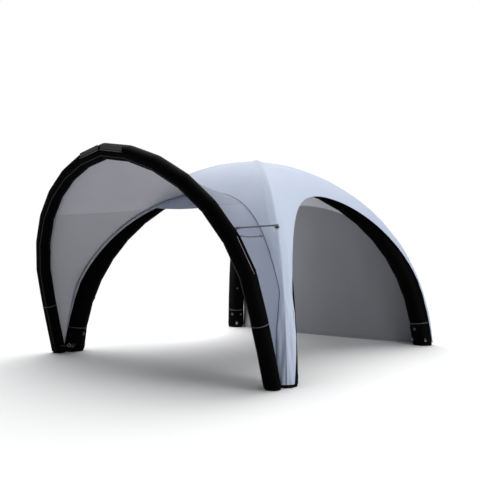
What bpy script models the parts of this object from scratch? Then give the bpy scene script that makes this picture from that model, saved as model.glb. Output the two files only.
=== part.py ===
"""An inflatable event tent, built to be run by Blender.

Four air-beam legs rise to one crown and carry a four-sided canopy with an arched opening
in each side. A grey wall closes the back. An awning leans out in front of the tent: a
separate segmented air arch, with fabric stretched from it to the hem of the canopy and two
struts that hold it off the front legs. A valance closes the top of the front opening.

Units are metres. +Z is up, -Y is the front with the awning, and the tent is mirrored in X.
The tent is modelled about the middle of its four legs, and is then shifted so that the
origin is the middle of its footprint on the ground.
"""

import math

import bmesh
import bpy
from mathutils import Matrix, Vector

# Legs and canopy
LEG_PLACE = 2.31            # each leg stands this far from the tent's middle, along X and along Y
CANOPY_REACH = 0.188        # from a leg's axis to the outside of the canopy over it
RIDGE_HEIGHT = 3.464        # outside of the canopy at the apex
RIDGE_LEAN = 0.144          # how far the ridge leans in over its lower curve
RIDGE_LOW_PULL = 2.326      # height of the ridge curve's lower handle
RIDGE_HIGH_PULL = 1.489     # distance out of the ridge curve's upper handle
RIDGE_PEAK_DROP = 0.067     # how far the upper handle lies under the apex
LEG_SEGMENTS = 11           # straight lengths of fabric from a foot to the apex
CROWN_SEGMENTS = 1          # of those, the ones that belong to the crown
BEAM_SIDES = 16
SIDE_ANGLE = 360 / BEAM_SIDES
ROUND_COLUMNS = 4           # columns of the canopy round a leg
FLAT_COLUMNS = 3            # and from there to the hem, or to the middle of a side
ROW_SPACE = 0.012           # nearest that a row between bends comes to a row under the opening's top
RIDGE_STEPS = 2000          # steps in which the ridge curve is measured
HALVINGS = 50               # of the range, to find the place on the ridge that has a given height

# Side openings, cut as a half ellipse seen from the side
HEM_HALF_WIDTH = 2.356
HEM_HEIGHT = 2.724
HEM_FOOT = 0.046            # bottom edge of the canopy at a leg
HEM_FULLNESS = 2.08         # of the opening's curve; 2 would make it an ellipse
HEM_ANGLES = (0.0, 7.0, 14.0, 20.5, 27.0)     # extra rows near the opening's top, in degrees
LEG_FLARE = 0.067           # how far the canopy reaches further round a leg, at the most,
LEG_FLARE_TOP = 1.22        # between the ground and this height

# Fabric and the clearances between pieces
FABRIC = 0.006
CANOPY_CLEAR = 0.0012
TOUCH = 0.0003
PANEL_CLEAR = 0.0006
BEAM_RADIUS = CANOPY_REACH - FABRIC - CANOPY_CLEAR

# Awning arch
ARCH_RADIUS = 0.115
ARCH_SEGMENT = 0.51         # straight length between two bends
ARCH_SLOPES = (10, 21, 32, 44, 57, 70, 84, 87, 88)     # fall of each length from the crown, in degrees
ARCH_TILT = math.radians(14.9)      # lean of the arch away from the tent
ARCH_FOOT_Y = -2.60
SEAM_SHARE = 4 / 9          # where the roof panel's seam meets the arch, from its crown to its foot
HEM_SHARE_POWER = 1.65      # crowds the fabric's rulings towards the top of the hem
AWNING_FOOT_SHARE = 0.965
AWNING_LAP = 0.08           # the awning's edge lies this far past the hem, on the canopy,
AWNING_LAP_RISE = 0.05      # and at this height over the top of the opening;
AWNING_LAP_START = 0.3      # it draws back to the hem between
AWNING_LAP_FULL = 1.2       # these two heights
AWNING_LAP_CLEAR = 0.003    # off the canopy, whose facets stand out between two rows
AWNING_LOWEST = 0.1         # rows of the canopy under this height hold no awning fabric
AWNING_COLUMNS = 3
AWNING_RULINGS = 18
RULING_SPACE = 0.004        # least share of the arch between two rulings
SEAM_GAP = 0.00015          # share of the arch between two panels
HEM_PROBE = 0.05            # step from the hem into the canopy that tells its two sides apart

# Back wall, and the valance that closes the top of the front opening
VALANCE_ANGLE = 20.5        # place of its lower corners on the hem, one of HEM_ANGLES
VALANCE_SAG = 0.05          # of its lower edge, in the middle
VALANCE_COLUMNS = 8
WALL_CLEAR = 0.012          # between the wall's bottom edge and the ground
WALL_SIDE_CLEAR = 0.003     # between the wall's side edges and the legs
WALL_LEAN = 0.13            # how far the wall's foot stands in from the canopy's own line
WALL_BOW = 0.12             # how far the middle of its foot bows in further
WALL_COLUMNS = 10
WALL_TRIM = 0.002           # step in which a row is narrowed until it clears the legs
WALL_NARROWEST = 0.1
LEG_STEPS = 120             # steps in which a leg's axis is measured for that

# Feet and fittings
SOLE_THICK = 0.03
SOLE_EDGE = 0.008
LEG_SOLE_RADIUS = 0.172
ARCH_SOLE_RADIUS = 0.106
STRAP_WIDTH = 0.016
STRAP_THICK = 0.003
LEG_STRAP_HEIGHT = 0.43
STRAP_START = 2.5           # sides of the tube from the ridge to the strap's end, at the canopy
ARCH_STRAP_HEIGHT = 0.85
VALVE_HEIGHT = 0.33
VALVE_ANGLE = 33.75         # from the side that faces the middle of the tent, in degrees
VALVE_RADIUS = 0.03
VALVE_DEPTH = 0.013
VALVE_EDGE = 0.004
EYELET_HEIGHT = 0.12
EYELET_RADIUS = 0.022
EYELET_HOLE = 0.01
EYELET_DEPTH = 0.006
STRUT_DOME_HEIGHT = 2.13    # where a strut's bracket lies on the canopy
STRUT_ARCH_HEIGHT = 2.00    # and on the arch
STRUT_ARCH_ANGLE = 33.75    # of that bracket, from the rear of the arch to its outside, in degrees
STRUT_RADIUS = 0.0125
BRACKET_RADIUS = 0.036
BRACKET_NECK = 0.011
BRACKET_LIP = 0.002         # width of the edge under its plate
BRACKET_RIM = 0.004         # height of the plate's edge, and of the slope up to the neck
BRACKET_PLATE = 0.009       # height of the plate's top
BALL_RADIUS = 0.02
BALL_STAND = 0.036          # the ball's middle over the surface that its bracket lies on

ROOT2 = math.sqrt(2)
CORNERS = {"front_right": -45, "back_right": 45, "back_left": 135, "front_left": 225}
SIDES = {"right": 0, "back": 90, "left": 180, "front": 270}
MIRROR_X = Matrix.Diagonal((-1, 1, 1, 1))

for old in list(bpy.data.objects):
    bpy.data.objects.remove(old, do_unlink=True)

tent = bpy.data.objects.new("tent", None)
bpy.context.scene.collection.objects.link(tent)


def material(name, colour, roughness, metallic=0.0):
    made = bpy.data.materials.new(name)
    made.use_nodes = True
    shader = made.node_tree.nodes["Principled BSDF"]
    shader.inputs["Base Color"].default_value = (*colour, 1)
    shader.inputs["Roughness"].default_value = roughness
    shader.inputs["Metallic"].default_value = metallic
    made.diffuse_color = (*colour, 1)
    return made


CANOPY_CLOTH = material("canopy_cloth", (0.60, 0.65, 0.80), 0.7)
WALL_CLOTH = material("wall_cloth", (0.20, 0.21, 0.23), 0.75)
BEAM_CLOTH = material("beam_cloth", (0.012, 0.012, 0.014), 0.5)
SOLE_RUBBER = material("sole_rubber", (0.02, 0.02, 0.02), 0.8)
WEBBING = material("webbing", (0.35, 0.37, 0.40), 0.7)
VALVE_PLASTIC = material("valve_plastic", (0.05, 0.05, 0.055), 0.4)
EYELET_METAL = material("eyelet_metal", (0.6, 0.6, 0.62), 0.35, 1.0)
STRUT_METAL = material("strut_metal", (0.45, 0.46, 0.49), 0.35, 1.0)


def finish(name, bm, cloth, sharp=30):
    """Closes a bmesh into an object that stands in the tent."""
    bmesh.ops.recalc_face_normals(bm, faces=bm.faces)
    if bm.calc_volume(signed=True) < 0:
        bmesh.ops.reverse_faces(bm, faces=bm.faces)
    mesh = bpy.data.meshes.new(name)
    bm.to_mesh(mesh)
    bm.free()
    mesh.materials.append(cloth)
    mesh.shade_smooth()
    mesh.set_sharp_from_angle(angle=math.radians(sharp))
    made = bpy.data.objects.new(name, mesh)
    bpy.context.scene.collection.objects.link(made)
    made.parent = tent
    return made


def tube(rings):
    """A bmesh of a tube through closed rings of points, with its two ends filled."""
    bm = bmesh.new()
    loops = []
    for ring in rings:
        points = [bm.verts.new(point) for point in ring]
        loops.append([bm.edges.new((a, b)) for a, b in zip(points, points[1:] + points[:1])])
    for lower, upper in zip(loops, loops[1:]):
        bmesh.ops.bridge_loops(bm, edges=lower + upper)
    for loop in (loops[0], loops[-1]):
        bmesh.ops.edgenet_fill(bm, edges=loop)
    return bm


def sheet(outer, inner, faces):
    """A bmesh of a closed sheet: its outside, its inside and the rim that joins them. Each
    four-sided face is parted along the same line on both sides, so that they never cross."""
    bm = bmesh.new()
    top = [bm.verts.new(point) for point in outer]
    under = [bm.verts.new(point) for point in inner]
    uses = {}
    triangles = [face[:3] for face in faces]
    triangles += [[face[0], face[2], face[3]] for face in faces if len(face) == 4]
    for face in triangles:
        bm.faces.new([top[i] for i in face])
        bm.faces.new([under[i] for i in reversed(face)])
        for a, b in zip(face, face[1:] + face[:1]):
            uses.setdefault(frozenset((a, b)), []).append((a, b))
    for edge in uses.values():
        if len(edge) == 1:
            a, b = edge[0]
            bm.faces.new((top[b], top[a], under[a], under[b]))
    return bm


def turned(profile, place, sides=20):
    """A bmesh turned about Z from (radius, height) points, then moved by a matrix."""
    bm = bmesh.new()
    points = [bm.verts.new((radius, 0, height)) for radius, height in profile]
    edges = [bm.edges.new(pair) for pair in zip(points, points[1:])]
    if profile[0][0] > 0:
        edges.append(bm.edges.new((points[-1], points[0])))
    bmesh.ops.spin(
        bm, geom=points + edges, cent=(0, 0, 0), axis=(0, 0, 1), angle=2 * math.pi,
        steps=sides, use_merge=True,
    )
    bmesh.ops.remove_doubles(bm, verts=bm.verts, dist=0.00001)
    bmesh.ops.transform(bm, matrix=place, verts=bm.verts)
    return bm


def facing(point, normal):
    """The matrix that puts a turned piece's Z axis along a normal at a point."""
    turn = normal.to_track_quat("Z", "Y").to_matrix().to_4x4()
    return Matrix.Translation(point) @ turn


def slide(point, towards, height):
    """The point at a height on the line from one point towards another."""
    way = towards - point
    return point + way * ((height - point.z) / way.z)


# The ridge over a leg: a curve in the upright plane through the tent's diagonal

RIDGE = (
    Vector((ROOT2 * LEG_PLACE + CANOPY_REACH, 0)),
    Vector((ROOT2 * LEG_PLACE + CANOPY_REACH - RIDGE_LEAN, RIDGE_LOW_PULL)),
    Vector((RIDGE_HIGH_PULL, RIDGE_HEIGHT - RIDGE_PEAK_DROP)),
    Vector((0, RIDGE_HEIGHT)),
)


def ridge(t):
    """(distance out, height) of the ridge, and its direction there."""
    a, b, c, d = RIDGE
    s = 1 - t
    point = s ** 3 * a + 3 * s * s * t * b + 3 * s * t * t * c + t ** 3 * d
    way = s * s * (b - a) + 2 * s * t * (c - b) + t * t * (d - c)
    return point, way.normalized()


def share_places(count):
    """The places t that part the ridge into lengths of equal size."""
    points = [ridge(i / RIDGE_STEPS)[0] for i in range(RIDGE_STEPS + 1)]
    run = [0.0]
    for a, b in zip(points, points[1:]):
        run.append(run[-1] + (b - a).length)
    places = []
    i = 0
    for k in range(count + 1):
        goal = run[-1] * k / count
        while i < RIDGE_STEPS and run[i] < goal:
            i += 1
        places.append(i / RIDGE_STEPS)
    return places


def section(t):
    """A leg at t: (distance out, height) of its axis, the way out of its ridge, and the way out
    of the flat of the canopy beside it. The ways are (level part, upward part)."""
    point, way = ridge(t)
    ridge_out = Vector((way.y, -way.x))
    side_out = Vector((way.y, -way.x / ROOT2)).normalized()
    return point - CANOPY_REACH * ridge_out, ridge_out, side_out


def flat_height(t):
    """Height of the outside of the canopy's flat at t."""
    axis, _, side_out = section(t)
    return axis.y + CANOPY_REACH * side_out.y


def place_at_height(height):
    low, high = 0.0, 1.0
    for _ in range(HALVINGS):
        middle = (low + high) / 2
        if flat_height(middle) < height:
            low = middle
        else:
            high = middle
    return (low + high) / 2


JOINTS = share_places(LEG_SEGMENTS)
HALF_JOINTS = share_places(2 * LEG_SEGMENTS)
HEM_TOP = place_at_height(HEM_HEIGHT)
LAP_TOP = place_at_height(HEM_HEIGHT + AWNING_LAP_RISE)


def canopy_rows():
    """Places of the canopy's rows: each bend of the leg, between bends, and close rows under
    the top of the opening."""
    close = [LAP_TOP] + [
        place_at_height(HEM_HEIGHT * math.cos(math.radians(degrees))) for degrees in HEM_ANGLES
    ]
    rows = close + [
        row for row in HALF_JOINTS[:-1]
        if row in JOINTS or min(abs(row - place) for place in close) > ROW_SPACE
    ]
    return sorted(rows)


def leg_flare(t):
    share = min(max(flat_height(t), 0.0) / LEG_FLARE_TOP, 1.0)
    return LEG_FLARE * math.sin(math.pi * share)


def hem_share(height_share):
    """Width of the opening at a share of its height, as a share of its width at the ground."""
    return (1 - max(height_share, 0.0) ** HEM_FULLNESS) ** (1 / HEM_FULLNESS)


def hem_half_width(t):
    """Half the opening's width at t, as a place along Y on the right side of the tent."""
    share = min(flat_height(t) / HEM_HEIGHT, 1.0)
    if t >= HEM_TOP:
        return 0.0
    return HEM_HALF_WIDTH * hem_share(share) - leg_flare(t)


def lap_half_width(t):
    """The same for the line on the canopy that the awning's edge follows."""
    height = flat_height(t)
    share = min(height / (HEM_HEIGHT + AWNING_LAP_RISE), 1.0)
    grown = (height - AWNING_LAP_START) / (AWNING_LAP_FULL - AWNING_LAP_START)
    lap = AWNING_LAP * min(max(grown, 0.0), 1.0)
    return max((HEM_HALF_WIDTH + lap) * hem_share(share) - leg_flare(t), 0.0)


def canopy_point(t, along, reach):
    """A point of the right side's front half. It is this far along from the ridge of the front
    right leg: first round the leg, then level over the opening."""
    axis, ridge_out, side_out = section(t)
    out = axis.x / ROOT2
    start = Vector((ridge_out.x / ROOT2, -ridge_out.x / ROOT2, ridge_out.y))
    end = Vector((side_out.x, 0, side_out.y))
    turn = start.angle(end)
    normal = end.copy()
    y = -out + along - CANOPY_REACH * turn
    if along < CANOPY_REACH * turn:
        share = along / (CANOPY_REACH * turn)
        normal = start.slerp(end, share)
        y = -out
    return Vector((out, y, axis.y)) + reach * normal, normal


def round_length(t):
    """Length of the canopy from the ridge to where it leaves the leg's round side."""
    _, ridge_out, side_out = section(t)
    start = Vector((ridge_out.x / ROOT2, -ridge_out.x / ROOT2, ridge_out.y))
    return CANOPY_REACH * start.angle(Vector((side_out.x, 0, side_out.y)))


def length_to(t, half_width):
    """Length of the canopy from the ridge to a half width of the opening."""
    return round_length(t) + section(t)[0].x / ROOT2 - half_width


def edge_length(t):
    """Length of the canopy from the ridge to the hem, or to the middle over the opening."""
    return length_to(t, hem_half_width(t))


def columns(t):
    full = edge_length(t)
    bend = min(round_length(t), 0.8 * full)
    places = [bend * i / ROUND_COLUMNS for i in range(ROUND_COLUMNS)]
    places += [bend + (full - bend) * i / FLAT_COLUMNS for i in range(FLAT_COLUMNS + 1)]
    return places


def side_grid(rows, reach):
    """The right side's points for one reach: two half rows from each ridge, joined above the hem."""
    last = ROUND_COLUMNS + FLAT_COLUMNS
    grid = []
    for t in rows:
        half = [canopy_point(t, along, reach)[0] for along in columns(t)]
        if t >= HEM_TOP:
            half[last].y = 0
        grid.append(half)
    grid[0] = [slide(low, high, HEM_FOOT) for low, high in zip(grid[0], grid[1])]
    points = []
    index = {}
    for r, half in enumerate(grid):
        for sign in (1, -1):
            for c, point in enumerate(half):
                if sign < 0 and c == last and rows[r] >= HEM_TOP:
                    index[r, sign, c] = index[r, 1, c]
                    continue
                index[r, sign, c] = len(points)
                points.append(Vector((point.x, sign * point.y, point.z)))
    return points, index


def side_of_canopy(name, degrees):
    rows = canopy_rows()
    outer, index = side_grid(rows, CANOPY_REACH)
    inner, _ = side_grid(rows, CANOPY_REACH - FABRIC)
    faces = []
    for r in range(len(rows) - 1):
        for c in range(ROUND_COLUMNS + FLAT_COLUMNS):
            corners = ((r, c), (r, c + 1), (r + 1, c + 1), (r + 1, c))
            faces.append([index[row, 1, column] for row, column in corners])
            faces.append([index[row, -1, column] for row, column in reversed(corners)])
    apex = len(outer)
    outer.append(Vector((0, 0, RIDGE_HEIGHT)))
    inner.append(Vector((0, 0, RIDGE_HEIGHT - FABRIC)))
    top = len(rows) - 1
    for c in range(ROUND_COLUMNS + FLAT_COLUMNS):
        faces.append([index[top, 1, c], index[top, 1, c + 1], apex])
        faces.append([index[top, -1, c + 1], index[top, -1, c], apex])
    bm = sheet(outer, inner, faces)
    move = Matrix.Rotation(math.radians(degrees), 4, "Z") @ Matrix.Translation((TOUCH, 0, 0))
    bmesh.ops.transform(bm, matrix=move, verts=bm.verts)
    finish(name, bm, CANOPY_CLOTH)


def leg_frame(t, corner):
    """A leg's axis point, its way out over the ridge and its way sideways, at a corner in degrees."""
    axis, ridge_out, _ = section(t)
    out = Vector((math.cos(math.radians(corner)), math.sin(math.radians(corner)), 0))
    up = Vector((0, 0, 1))
    return out * axis.x + up * axis.y, out * ridge_out.x + up * ridge_out.y, up.cross(out)


def chord_frame(height, corner):
    """The same at a height, on the straight length of leg between two bends."""
    for low, high in zip(JOINTS, JOINTS[1:]):
        start, _, side_way = leg_frame(low, corner)
        stop = leg_frame(high, corner)[0]
        if height <= stop.z:
            break
    return slide(start, stop, height), side_way.cross((stop - start).normalized()), side_way


def leg_ring(t, corner, radius=BEAM_RADIUS, along=0.0):
    centre, ridge_way, side_way = leg_frame(t, corner)
    centre = centre + ridge_way.cross(side_way) * along
    ring = []
    for k in range(BEAM_SIDES):
        angle = 2 * math.pi * k / BEAM_SIDES
        ring.append(centre + radius * (ridge_way * math.cos(angle) + side_way * math.sin(angle)))
    return ring


def leg(name, corner):
    rings = [leg_ring(t, corner) for t in JOINTS[: LEG_SEGMENTS - CROWN_SEGMENTS + 1]]
    rings[0] = [slide(low, high, SOLE_THICK + TOUCH) for low, high in zip(*rings[:2])]
    rings[-1] = leg_ring(JOINTS[LEG_SEGMENTS - CROWN_SEGMENTS], corner, along=-TOUCH)
    finish("leg_" + name, tube(rings), BEAM_CLOTH)


def crown():
    """The crossing of the two beams: each runs from one leg's top over the middle to the other."""
    end = JOINTS[LEG_SEGMENTS - CROWN_SEGMENTS]
    up = Vector((0, 0, 1))
    crossing = []
    for corner in (-45, 45):
        near = leg_ring(end, corner, along=TOUCH)
        far = leg_ring(end, corner + 180, along=TOUCH)
        far = [far[-k] for k in range(BEAM_SIDES)]
        side_way = leg_frame(end, corner)[2]
        middle = []
        for k in range(BEAM_SIDES):
            angle = 2 * math.pi * k / BEAM_SIDES
            out = BEAM_RADIUS * (up * math.cos(angle) + side_way * math.sin(angle))
            middle.append(up * section(1.0)[0].y + out)
        crossing.append(finish("crown_beam", tube([near, middle, far]), BEAM_CLOTH))
    first, second = crossing
    join = first.modifiers.new("crossing", "BOOLEAN")
    join.operation = "UNION"
    join.object = second
    second.hide_render = True
    second.display_type = "WIRE"
    first.name = "crown"


# The awning arch stands in a plane that leans away from the tent

ARCH_REAR = Vector((0, math.cos(ARCH_TILT), math.sin(ARCH_TILT)))


def arch_place(across, slant):
    """A point of the arch's plane: across the tent, and up the slant from the ground."""
    return Vector((across, ARCH_FOOT_Y - slant * math.sin(ARCH_TILT), slant * math.cos(ARCH_TILT)))


def arch_half():
    """(across, slant) of the arch's bends from its crown down to one foot."""
    falls = [math.radians(slope) for slope in ARCH_SLOPES]
    points = [Vector((0, ARCH_SEGMENT * sum(math.sin(fall) for fall in falls)))]
    for fall in falls:
        points.append(points[-1] + ARCH_SEGMENT * Vector((math.cos(fall), -math.sin(fall))))
    return points


ARCH_BENDS = arch_half()


def arch_at(share):
    """The arch's axis at a share of the way from its crown to a foot, and its way out there."""
    place = share * len(ARCH_SLOPES)
    length = min(int(place), len(ARCH_SLOPES) - 1)
    point = ARCH_BENDS[length].lerp(ARCH_BENDS[length + 1], place - length)
    fall = math.radians(ARCH_SLOPES[length])
    if abs(place - length) < 0.01 and length > 0:
        fall = (fall + math.radians(ARCH_SLOPES[length - 1])) / 2
    if share < 0.001:
        fall = 0.0
    out = arch_place(math.sin(fall), math.cos(fall)) - arch_place(0, 0)
    return arch_place(*point), out


def arch_share_at_height(height):
    slant = height / math.cos(ARCH_TILT)
    for k, (high, low) in enumerate(zip(ARCH_BENDS, ARCH_BENDS[1:])):
        if low.y <= slant <= high.y:
            return (k + (high.y - slant) / (high.y - low.y)) / len(ARCH_SLOPES)
    return 1.0


def arch_ring(share, radius, angles, stretch=1.0):
    """Points round the arch's tube. An angle runs from the rear to the outside of the arch."""
    centre, out = arch_at(share)
    ring = []
    for degrees in angles:
        angle = math.radians(degrees)
        ring.append(centre + radius * (ARCH_REAR * math.cos(angle) + stretch * out * math.sin(angle)))
    return ring


FULL_TURN = [SIDE_ANGLE * k for k in range(BEAM_SIDES)]


def mirrored(points):
    return [MIRROR_X @ point for point in points]


def awning_arch():
    count = len(ARCH_SLOPES)
    half = []
    for k in range(1, count + 1):
        kink = ARCH_SLOPES[k] - ARCH_SLOPES[k - 1] if k < count else 0
        stretch = 1 / math.cos(math.radians(kink / 2))
        half.append(arch_ring(k / count, ARCH_RADIUS, FULL_TURN, stretch))
    half[-1] = [slide(low, high, SOLE_THICK + TOUCH) for low, high in zip(half[-1], half[-2])]
    peak = arch_ring(0, ARCH_RADIUS, FULL_TURN, 1 / math.cos(math.radians(ARCH_SLOPES[0])))
    rings = [mirrored(ring) for ring in reversed(half)] + [peak] + half
    finish("awning_arch", tube(rings), BEAM_CLOTH)


# The awning's fabric runs from the rear of the arch to the canopy, just past its front hem

def to_front(point):
    """Turns a point of the right side to the front of the tent."""
    return Matrix.Rotation(math.radians(-90), 4, "Z") @ point


def hem_vertices():
    """(share, edge, way over the canopy) down one half of the awning's rear edge, from its top."""
    rows = [t for t in canopy_rows() if t <= LAP_TOP and flat_height(t) > AWNING_LOWEST]
    rows.reverse()
    top = flat_height(LAP_TOP)
    lowest = math.acos(flat_height(rows[-1]) / top)
    points = []
    inward = []
    upward = Vector((0, 0, 1))
    for t in rows:
        along = length_to(t, lap_half_width(t))
        point, normal = canopy_point(t, along, CANOPY_REACH + AWNING_LAP_CLEAR)
        nearer = canopy_point(t, along - HEM_PROBE, CANOPY_REACH + AWNING_LAP_CLEAR)[0]
        inward.append(to_front(nearer - point))
        angle = math.acos(min(flat_height(t) / top, 1.0))
        share = AWNING_FOOT_SHARE * (angle / lowest) ** (1 / HEM_SHARE_POWER)
        points.append((share, to_front(point), to_front(normal)))
    found = []
    for k, (share, point, normal) in enumerate(points):
        before = points[max(k - 1, 0)][1]
        after = points[min(k + 1, len(points) - 1)][1]
        if k == 0:
            before = MIRROR_X @ after
        run = (after - before).normalized()
        over = run.cross(normal).normalized()
        if over.dot(upward if k == 0 else inward[k]) < 0:
            over = -over
        found.append((share, Vector((-point.x, point.y, point.z)), Vector((-over.x, over.y, over.z))))
    return found


def hem_at(share, hem):
    for (a, low, way_a), (b, high, way_b) in zip(hem, hem[1:]):
        if a <= share <= b + 1e-9:
            mix = (share - a) / (b - a)
            return low.lerp(high, mix), way_a.lerp(way_b, mix)
    return hem[-1][1], hem[-1][2]


def awning_panel(name, first, last):
    """Fabric over the shares first to last of the arch; a share below 0 is on its left half."""
    hem = hem_vertices()
    shares = [share for share, _, _ in hem]
    shares += [k / AWNING_RULINGS for k in range(AWNING_RULINGS)]
    shares = sorted({round(sign * share, 6) for share in shares for sign in (1, -1)})
    shares = [s for s in shares if first + RULING_SPACE < s < last - RULING_SPACE]
    shares = [first] + shares + [last]
    outer = []
    inner = []
    for share in shares:
        size = abs(share)
        centre, out = arch_at(size)
        rear = centre + ARCH_REAR * (ARCH_RADIUS + PANEL_CLEAR)
        edge, over = hem_at(size, hem)
        ends = ((rear + out * FABRIC / 2, edge + over * FABRIC), (rear - out * FABRIC / 2, edge))
        for points, (start, stop) in zip((outer, inner), ends):
            line = [start.lerp(stop, k / AWNING_COLUMNS) for k in range(AWNING_COLUMNS + 1)]
            points.extend(mirrored(line) if share < 0 else line)
    width = AWNING_COLUMNS + 1
    faces = []
    for r in range(len(shares) - 1):
        for c in range(AWNING_COLUMNS):
            low = r * width + c
            faces.append([low, low + 1, low + 1 + width, low + width])
    finish(name, sheet(outer, inner, faces), CANOPY_CLOTH)


# The back wall hangs in the back opening and follows the canopy's own line down. The valance
# closes the top of the front opening in the same way.

def clear_of_leg(point):
    """Distance of a point of the right side's plane from the nearest leg's axis."""
    point = Vector((point.x, -abs(point.y), point.z))
    axis = [leg_frame(k / LEG_STEPS, CORNERS["front_right"])[0] for k in range(LEG_STEPS + 1)]
    distances = []
    for a, b in zip(axis, axis[1:]):
        way = b - a
        share = max(0.0, min(1.0, (point - a).dot(way) / way.length_squared))
        distances.append((point - a - way * share).length)
    return min(distances)


def wall_point(t, share, half, reach):
    axis, _, side_out = section(t)
    height = max(flat_height(t), 0.0) / HEM_HEIGHT
    drop = WALL_LEAN * (1 - height) ** 4 + WALL_BOW * (1 - share * share) * (1 - height)
    level = axis.x / ROOT2 + side_out.x * (reach - drop)
    return Vector((level, half * share, axis.y + side_out.y * (reach - drop)))


def closing_rows(lowest):
    """(place, half width) of the rows of a sheet that fills an opening from a place to its top."""
    rows = []
    for t in canopy_rows():
        if t < lowest or t >= HEM_TOP:
            continue
        angle = math.acos(min(max(flat_height(t), 0) / HEM_HEIGHT, 1.0))
        t_low = place_at_height(flat_height(t) - PANEL_CLEAR * math.cos(angle))
        half = hem_half_width(t) - PANEL_CLEAR * math.sin(angle)
        while half > WALL_NARROWEST:
            ends = [wall_point(t_low, 1, half, reach) for reach in (CANOPY_REACH, CANOPY_REACH - FABRIC)]
            if min(clear_of_leg(end) for end in ends) > BEAM_RADIUS + WALL_SIDE_CLEAR:
                break
            half -= WALL_TRIM
        rows.append((t_low, half))
    return rows


def closing_sheet(name, rows, foot_row, column_count, degrees, cloth):
    """A sheet in an opening of the right side, turned to another side. foot_row gives its lowest
    points from the two rows over them."""
    sides = []
    for reach in (CANOPY_REACH, CANOPY_REACH - FABRIC):
        shares = [2 * c / column_count - 1 for c in range(column_count + 1)]
        grid = [[wall_point(t, share, half, reach) for share in shares] for t, half in rows]
        grid[0] = foot_row(rows, shares, reach)
        peak = wall_point(place_at_height(HEM_HEIGHT - PANEL_CLEAR), 0, 0, reach)
        sides.append([point for row in grid for point in row] + [peak])
    width = column_count + 1
    faces = []
    for r in range(len(rows) - 1):
        for c in range(column_count):
            low = r * width + c
            faces.append([low, low + 1, low + 1 + width, low + width])
    start = (len(rows) - 1) * width
    for c in range(column_count):
        faces.append([start + c, start + c + 1, start + width])
    bm = sheet(*sides, faces)
    turn = Matrix.Rotation(math.radians(degrees), 4, "Z")
    bmesh.ops.transform(bm, matrix=turn, verts=bm.verts)
    finish(name, bm, cloth)


def wall_foot(rows, shares, reach):
    """The wall's lowest points, level just over the ground."""
    (t_low, half_low), (t_high, half_high) = rows[:2]
    points = []
    for share in shares:
        low = wall_point(t_low, share, half_low, reach)
        points.append(slide(low, wall_point(t_high, share, half_high, reach), WALL_CLEAR))
    return points


def valance_foot(rows, shares, reach):
    """The valance's lowest points, which sag between its corners."""
    t, half = rows[0]
    points = []
    for share in shares:
        lower = place_at_height(flat_height(t) - VALANCE_SAG * (1 - share * share))
        points.append(wall_point(lower, share, half, reach))
    return points


def back_wall():
    closing_sheet("back_wall", closing_rows(0), wall_foot, WALL_COLUMNS, SIDES["back"], WALL_CLOTH)


def front_valance():
    corner = place_at_height(HEM_HEIGHT * math.cos(math.radians(VALANCE_ANGLE)))
    rows = closing_rows(corner)
    closing_sheet(
        "front_valance", rows, valance_foot, VALANCE_COLUMNS, SIDES["front"], CANOPY_CLOTH
    )


# Soles, straps, valves, eyelets and struts

def sole(name, centre, radius):
    profile = (
        (0, 0), (radius - SOLE_EDGE, 0), (radius, SOLE_EDGE), (radius, SOLE_THICK - SOLE_EDGE),
        (radius - SOLE_EDGE / 2, SOLE_THICK), (0, SOLE_THICK),
    )
    place = Matrix.Translation((centre.x, centre.y, 0))
    finish(name, turned(profile, place, sides=28), SOLE_RUBBER)


def band(name, ring_at, centre_up, cloth):
    """A strap round a tube: the same ring at two heights and two thicknesses."""
    bm = bmesh.new()
    grid = []
    for shift, thick in ((-1, 0), (-1, 1), (1, 1), (1, 0)):
        ring = ring_at(TOUCH + STRAP_THICK * thick)
        move = centre_up * shift * STRAP_WIDTH / 2
        grid.append([bm.verts.new(point + move) for point in ring])
    for low, high in zip(grid, grid[1:] + grid[:1]):
        for k in range(len(low) - 1):
            bm.faces.new((low[k], low[k + 1], high[k + 1], high[k]))
    for k in (0, -1):
        bm.faces.new([ring[k] for ring in grid])
    finish(name, bm, cloth)


def leg_straps(name, corner):
    centre, ridge_way, side_way = chord_frame(LEG_STRAP_HEIGHT, corner)
    first = math.ceil(STRAP_START)
    start = STRAP_START * SIDE_ANGLE
    angles = [start] + [SIDE_ANGLE * k for k in range(first, BEAM_SIDES - first + 1)] + [360 - start]

    def ring_at(extra):
        ring = []
        for degrees in angles:
            angle = math.radians(degrees)
            reach = BEAM_RADIUS + extra
            if degrees in (angles[0], angles[-1]):
                reach = reach * math.cos(math.pi / BEAM_SIDES)
            ring.append(centre + reach * (ridge_way * math.cos(angle) + side_way * math.sin(angle)))
        return ring

    band("leg_strap_" + name, ring_at, ridge_way.cross(side_way), WEBBING)


def arch_strap(name, mirror):
    share = arch_share_at_height(ARCH_STRAP_HEIGHT)
    start = 0.5 * SIDE_ANGLE
    steps = [start] + [SIDE_ANGLE * k for k in range(1, BEAM_SIDES)] + [360 - start]

    def ring_at(extra):
        ring = arch_ring(share, ARCH_RADIUS + extra, steps)
        flat = math.cos(math.pi / BEAM_SIDES)
        ends = arch_ring(share, (ARCH_RADIUS + extra) * flat, (steps[0], steps[-1]))
        ring = [ends[0]] + ring[1:-1] + [ends[1]]
        return mirrored(ring) if mirror else ring

    centre, out = arch_at(share)
    up = ARCH_REAR.cross(out)
    band("arch_strap_" + name, ring_at, MIRROR_X @ up if mirror else up, WEBBING)


def on_leg(height, corner, degrees, reach):
    """A point on a leg at a height, and the way out of it there. 0 degrees is the ridge."""
    centre, ridge_way, side_way = chord_frame(height, corner)
    angle = math.radians(degrees)
    out = ridge_way * math.cos(angle) + side_way * math.sin(angle)
    return centre + out * reach, out


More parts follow.
